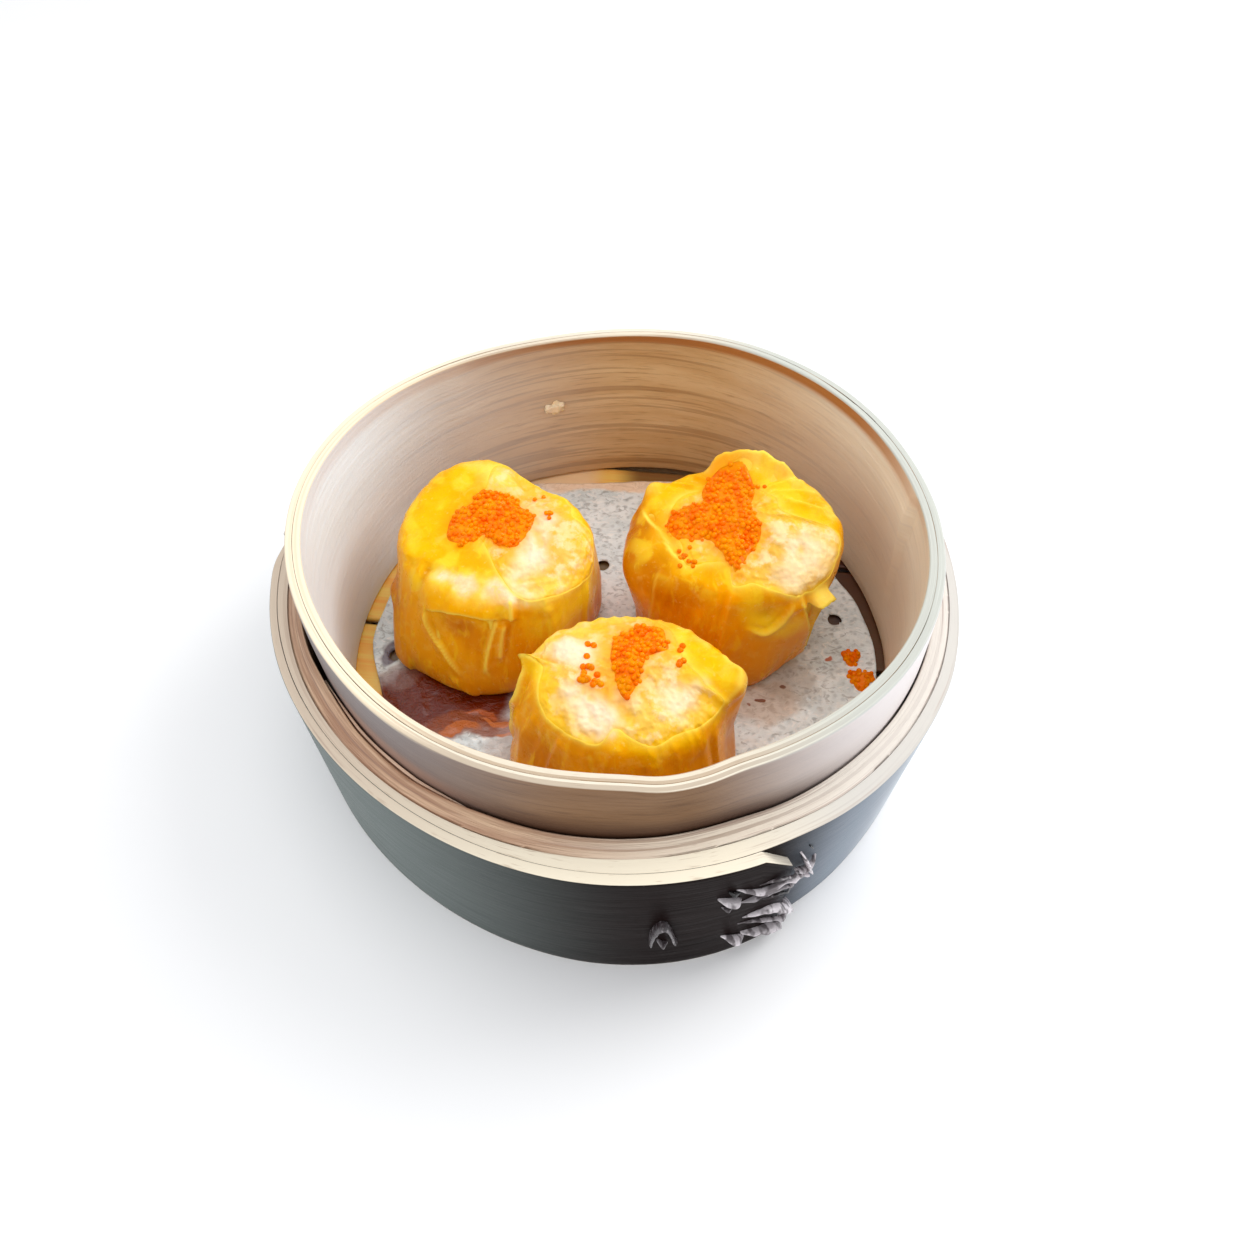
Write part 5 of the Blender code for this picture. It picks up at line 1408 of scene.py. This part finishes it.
def make_filling(side, dumpling):
    angle = np.linspace(-180, 180, FILLING_COLUMNS, endpoint=False)[None, :]
    edge = round_of(dumpling, "edge", angle)
    share = edge - TUCK + (TOP_SHARE - edge + TUCK) * np.linspace(0, 1, FILLING_ROWS)[:, None]
    skin = dough_skin(dumpling, angle + 0 * share, share)
    normals = grid_normals(skin)
    under_dough = np.minimum(share, edge)
    dough = dough_skin(dumpling, angle + 0 * share, under_dough)
    dough_raised = dough_relief(dumpling, angle, under_dough, dough, normals)[0] + lip_rise(dumpling, angle)
    past_lip = eased((share - edge + 0.020) / 0.026)
    seed = dumpling["seed"] * 31.0
    ridges = 1 - 2.6 * abs(noise_over(skin * 330.0, seed + 3))
    lumpy = (0.85 * noise_over(skin * 150.0, seed) + 0.26 * ridges + 0.20 * noise_over(skin * 520.0, seed + 5)
             + 0.14 * noise_over(skin * 1100.0, seed + 6))
    raised = (dough_raised * (1 - eased((share - edge) / 0.08)) - (1 - past_lip) * (WRAPPER - 0.1) - 0.08
              + lumpy * eased((share - edge) / 0.04))
    top = skin + normals * raised[..., None] * MM
    centre = np.array([*dumpling["middle"], 0.0]) * MM
    under = []
    for level, shrink in ((0.55, 0.93), (0.15, 0.90)):
        ring = top[0] * (1.0, 1.0, level) + (0.0, 0.0, (1 - level) * (FOOT_HEIGHT + 1.5) * MM)
        ring[:, :2] = centre[:2] + (ring[:, :2] - centre[:2]) * shrink
        under.append(ring)
    points = np.concatenate([[under[1]], [under[0]], top])
    faces = capped_faces(len(points), FILLING_COLUMNS)
    ragged = 0.012 * noise_over(skin * 400.0, seed + 2)
    stained = 0.85 * np.exp(-np.clip(share - edge + ragged, 0, 1) * 70.0 / 2.0) + 0.30 * np.clip(
        noise_over(skin * 110.0, seed + 9) * 2, 0, 1)
    # the dumpling's tones go on the filling too, painted highlights and shade among them
    hue = painted(dumpling, skin, hue_of(234, 180, 64) + 0 * skin)

    def all_rows(values):
        return np.concatenate([values[:1], values[:1], values])

    face_marks = {"stain": all_rows(np.clip(stained, 0, 1)), "juice": all_rows(juice(dumpling, skin)),
                  "relief": all_rows(lumpy), "hue": all_rows(hue)}
    return make_piece("mince_" + side, points, faces, mince, face_marks)


fillings = {}
for side, dumpling in DUMPLINGS.items():
    fillings[side] = make_filling(side, dumpling)
    settle(fillings[side], "filling", "filling_" + side)

CRUMB_ANGLE = 103.5                # a crumb of filling sticks to the hoop's inside, at the back
CRUMB_HEIGHT = 0.0300
CRUMB_HALVES = (0.0024, 0.0008, 0.0019)
CRUMB_ROWS, CRUMB_COLUMNS = 16, 28
tip = np.linspace(0.06, math.pi - 0.06, CRUMB_ROWS)[:, None]
turn = np.linspace(0, math.tau, CRUMB_COLUMNS, endpoint=False)[None, :]
ball = np.stack([np.sin(tip) * np.cos(turn), np.sin(tip) * np.sin(turn), -np.cos(tip) + 0 * turn], -1)
lump = ball * (1 + 0.7 * noise_over(ball * 1.7, 5.0))[..., None] * CRUMB_HALVES
wall = float(hoop_face(CRUMB_ANGLE, CRUMB_HEIGHT)) - hoop_wall - CRUMB_HALVES[1] / 2
way_out = np.array([math.cos(math.radians(CRUMB_ANGLE)), math.sin(math.radians(CRUMB_ANGLE)), 0.0])
way_along = np.array([way_out[1], -way_out[0], 0.0])
points = (way_out * wall + lump[..., :1] * way_along + lump[..., 1:2] * way_out
          + (lump[..., 2:] + CRUMB_HEIGHT) * (0, 0, 1))
crumb = make_piece("crumb", points, capped_faces(CRUMB_ROWS, CRUMB_COLUMNS), mince,
                   {"hue": TONES["white"] + 0 * points})
settle(crumb, "filling")

# ---- The roe ------------------------------------------------------------------------------------------
# A pinch of orange fish roe is pressed on each top: round wet grains a little over a millimetre across. A few
# have rolled off over the filling, and two pinches have dropped on the liner at the right.

GRAIN = 0.00062                    # radius
GRAIN_GAP = 0.00098                # between the middles of two grains, at least
CROWDING = 3000000.0               # grains to a square metre, at most
ROE_HEIGHT = 1.5                   # of a heap, and of a spilled pinch, in millimetres
SPILL_HEIGHT = 1.2
HEAP_DEPTH = 0.0006                # how far a heap reaches into what is under it
ROE_RINGS = 22
ROE_COLUMNS = 96
STRAY_CLUMPS = {                   # places beside each heap, spread in millimetres, and number of grains
    "left": ((-14.6, 11.4, 1.3, 5), (-30.5, 4.6, 1.0, 3), (-33.5, 3.2, 0.9, 3), (-16.5, 18.0, 0.8, 2)),
    "right": ((14.6, -1.6, 1.8, 9), (16.8, -4.0, 1.2, 4), (33.5, 13.4, 0.7, 2)),
    "front": ((-5.6, -29.8, 1.1, 6), (-6.8, -32.4, 1.2, 7), (-4.6, -33.6, 0.9, 4), (-4.8, -25.0, 0.7, 2),
              (12.8, -26.0, 0.7, 2), (12.1, -29.6, 0.8, 3)),
}
SPILLS = (("spilled_roe_1", (55.0, -8.8), 2.4), ("spilled_roe_2", (56.1, -15.0), 3.0))

heap_tree, given = new_tree("heap_of_grains", {
    "Grain": GRAIN, "Gap": GRAIN_GAP, "Crowding": CROWDING, "Seed": 1})
upper_side = stored(heap_tree, "upper")
scattered = shape("DistributePointsOnFaces", {
    "Mesh": given["Geometry"], "Selection": reckon(upper_side, 0.5, "GREATER_THAN"),
    "Distance Min": given["Gap"], "Density Max": given["Crowding"], "Seed": given["Seed"]},
    distribute_method="POISSON")
is_stray = reckon(stored(heap_tree, "stray"), 0.5, "GREATER_THAN")
strays = shape("MeshToPoints", {"Mesh": given["Geometry"], "Selection": is_stray, "Radius": 0.001})
jumble = step(heap_tree, "FunctionNodeRandomValue", {
    0: (-0.25, -0.25, -0.45), 1: (0.25, 0.25, 0.30), "Seed": given["Seed"]}, data_type="FLOAT_VECTOR")
jumble = node("VectorMath", {0: jumble, "Scale": given["Grain"]}, operation="SCALE")
spots = shape("SetPosition", {"Geometry": joined(scattered, strays), "Offset": jumble})
ball = shape("MeshIcoSphere", {"Radius": given["Grain"], "Subdivisions": 2})
size = step(heap_tree, "FunctionNodeRandomValue", {2: 0.78, 3: 1.15, "Seed": given["Seed"]}, out=1,
            data_type="FLOAT")
grains = shape("InstanceOnPoints", {"Points": spots, "Instance": ball, "Scale": size})
core_left = shape("DeleteGeometry", {"Geometry": given["Geometry"], "Selection": is_stray}, domain="POINT")
end_tree(heap_tree, joined(core_left, grains), given["Finish"])

orange_roe = new_finish("orange_roe", Coat_Weight=0.12, Coat_Roughness=0.08, Specular_IOR_Level=0.12,
                        Specular_Tint=(1.0, 0.5, 0.1, 1.0), Subsurface_Weight=0.3,
                        Subsurface_Radius=(1.0, 0.35, 0.02), Subsurface_Scale=0.0015)
place = object_place(orange_roe)
ripeness = cloud(place, 480.0, 2.0)
broad = cloud(place, 120.0, 2.0)
colour = tint(remap(ripeness, 0.35, 0.65), (255, 112, 0), (255, 150, 0))
colour = tint(remap(broad, 0.45, 0.7, 0.0, 0.5), colour, (255, 132, 0))
paint(orange_roe, colour, remap(ripeness, 0.3, 0.7, 0.2, 0.35), ripeness, depth=0.00003)


def surface_finder(*pieces):
    """A function that drops a point straight down on to the given pieces."""
    corners, faces = [], []
    for piece in pieces:
        start = len(corners)
        corners += [vertex.co.copy() for vertex in piece.data.vertices]
        faces += [[start + corner for corner in face.vertices] for face in piece.data.polygons]
    tree = BVHTree.FromPolygons(corners, faces)

    def drop(x, y):
        hit = tree.ray_cast(Vector((x, y, 0.1)), Vector((0, 0, -1)))[0]
        return hit.z if hit else 0.0

    return drop


def roe_heap(name, nodes, drop, middle, edge, thickness, strays, seed):
    """A heap of grains over a smaller core, lying on whatever is under it."""
    angle = np.linspace(0, 360, ROE_COLUMNS, endpoint=False)[None, :]
    share = np.linspace(1.0, 0.02, ROE_RINGS)[:, None]
    reach = share * (edge(angle) * MM - 0.5 * GRAIN)
    x = middle[0] * MM + reach * np.cos(np.radians(angle))
    y = middle[1] * MM + reach * np.sin(np.radians(angle))
    ground = np.array([[drop(a, b) for a, b in zip(row_x, row_y)] for row_x, row_y in zip(x, y)])
    flat = np.stack([x, y, 0 * x], -1)
    hump = (1 - share ** 3) * (0.75 + 0.5 * noise_over(flat * 260.0, seed))
    upper = np.stack([x, y, ground + thickness * MM * hump], -1)
    lower = np.stack([x, y, ground - HEAP_DEPTH], -1)[::4][::-1]
    points = np.concatenate([lower, upper])
    faces = capped_faces(len(points), ROE_COLUMNS)
    mark = np.concatenate([np.zeros(lower.shape[:2]), np.ones(upper.shape[:2])]).ravel()
    chance = np.random.default_rng(int(seed))
    loose = []
    for centre_x, centre_y, spread, number in strays:
        for off_x, off_y in chance.normal(0.0, 0.6 * spread, (number, 2)):
            a, b = (centre_x + off_x) * MM, (centre_y + off_y) * MM
            loose.append((a, b, drop(a, b) + 0.3 * GRAIN))
    mesh = bpy.data.meshes.new(name + "_core")
    mesh.from_pydata(points.reshape(-1, 3).tolist() + loose, [], faces)
    carry(mesh, {"upper": list(mark) + [0.0] * len(loose), "stray": [0.0] * len(mark) + [1.0] * len(loose)})
    settle(grow(name, mesh, heap_tree, seed=int(seed), finish=orange_roe), "roe", *nodes)


for side, dumpling in DUMPLINGS.items():
    drop = surface_finder(wrappers[side], fillings[side])
    roe_heap("grains_" + side, ["roe_" + side], drop, dumpling["roe_middle"],
             lambda a: round_of(dumpling, "roe_edge", a), ROE_HEIGHT, STRAY_CLUMPS[side], dumpling["seed"])
for name, middle, reach in SPILLS:
    roe_heap("grains_" + name, [name], surface_finder(liner), middle,
             lambda a: reach * (1 + 0.18 * np.sin(np.radians(3 * a + 40))), SPILL_HEIGHT, (), reach * 10)
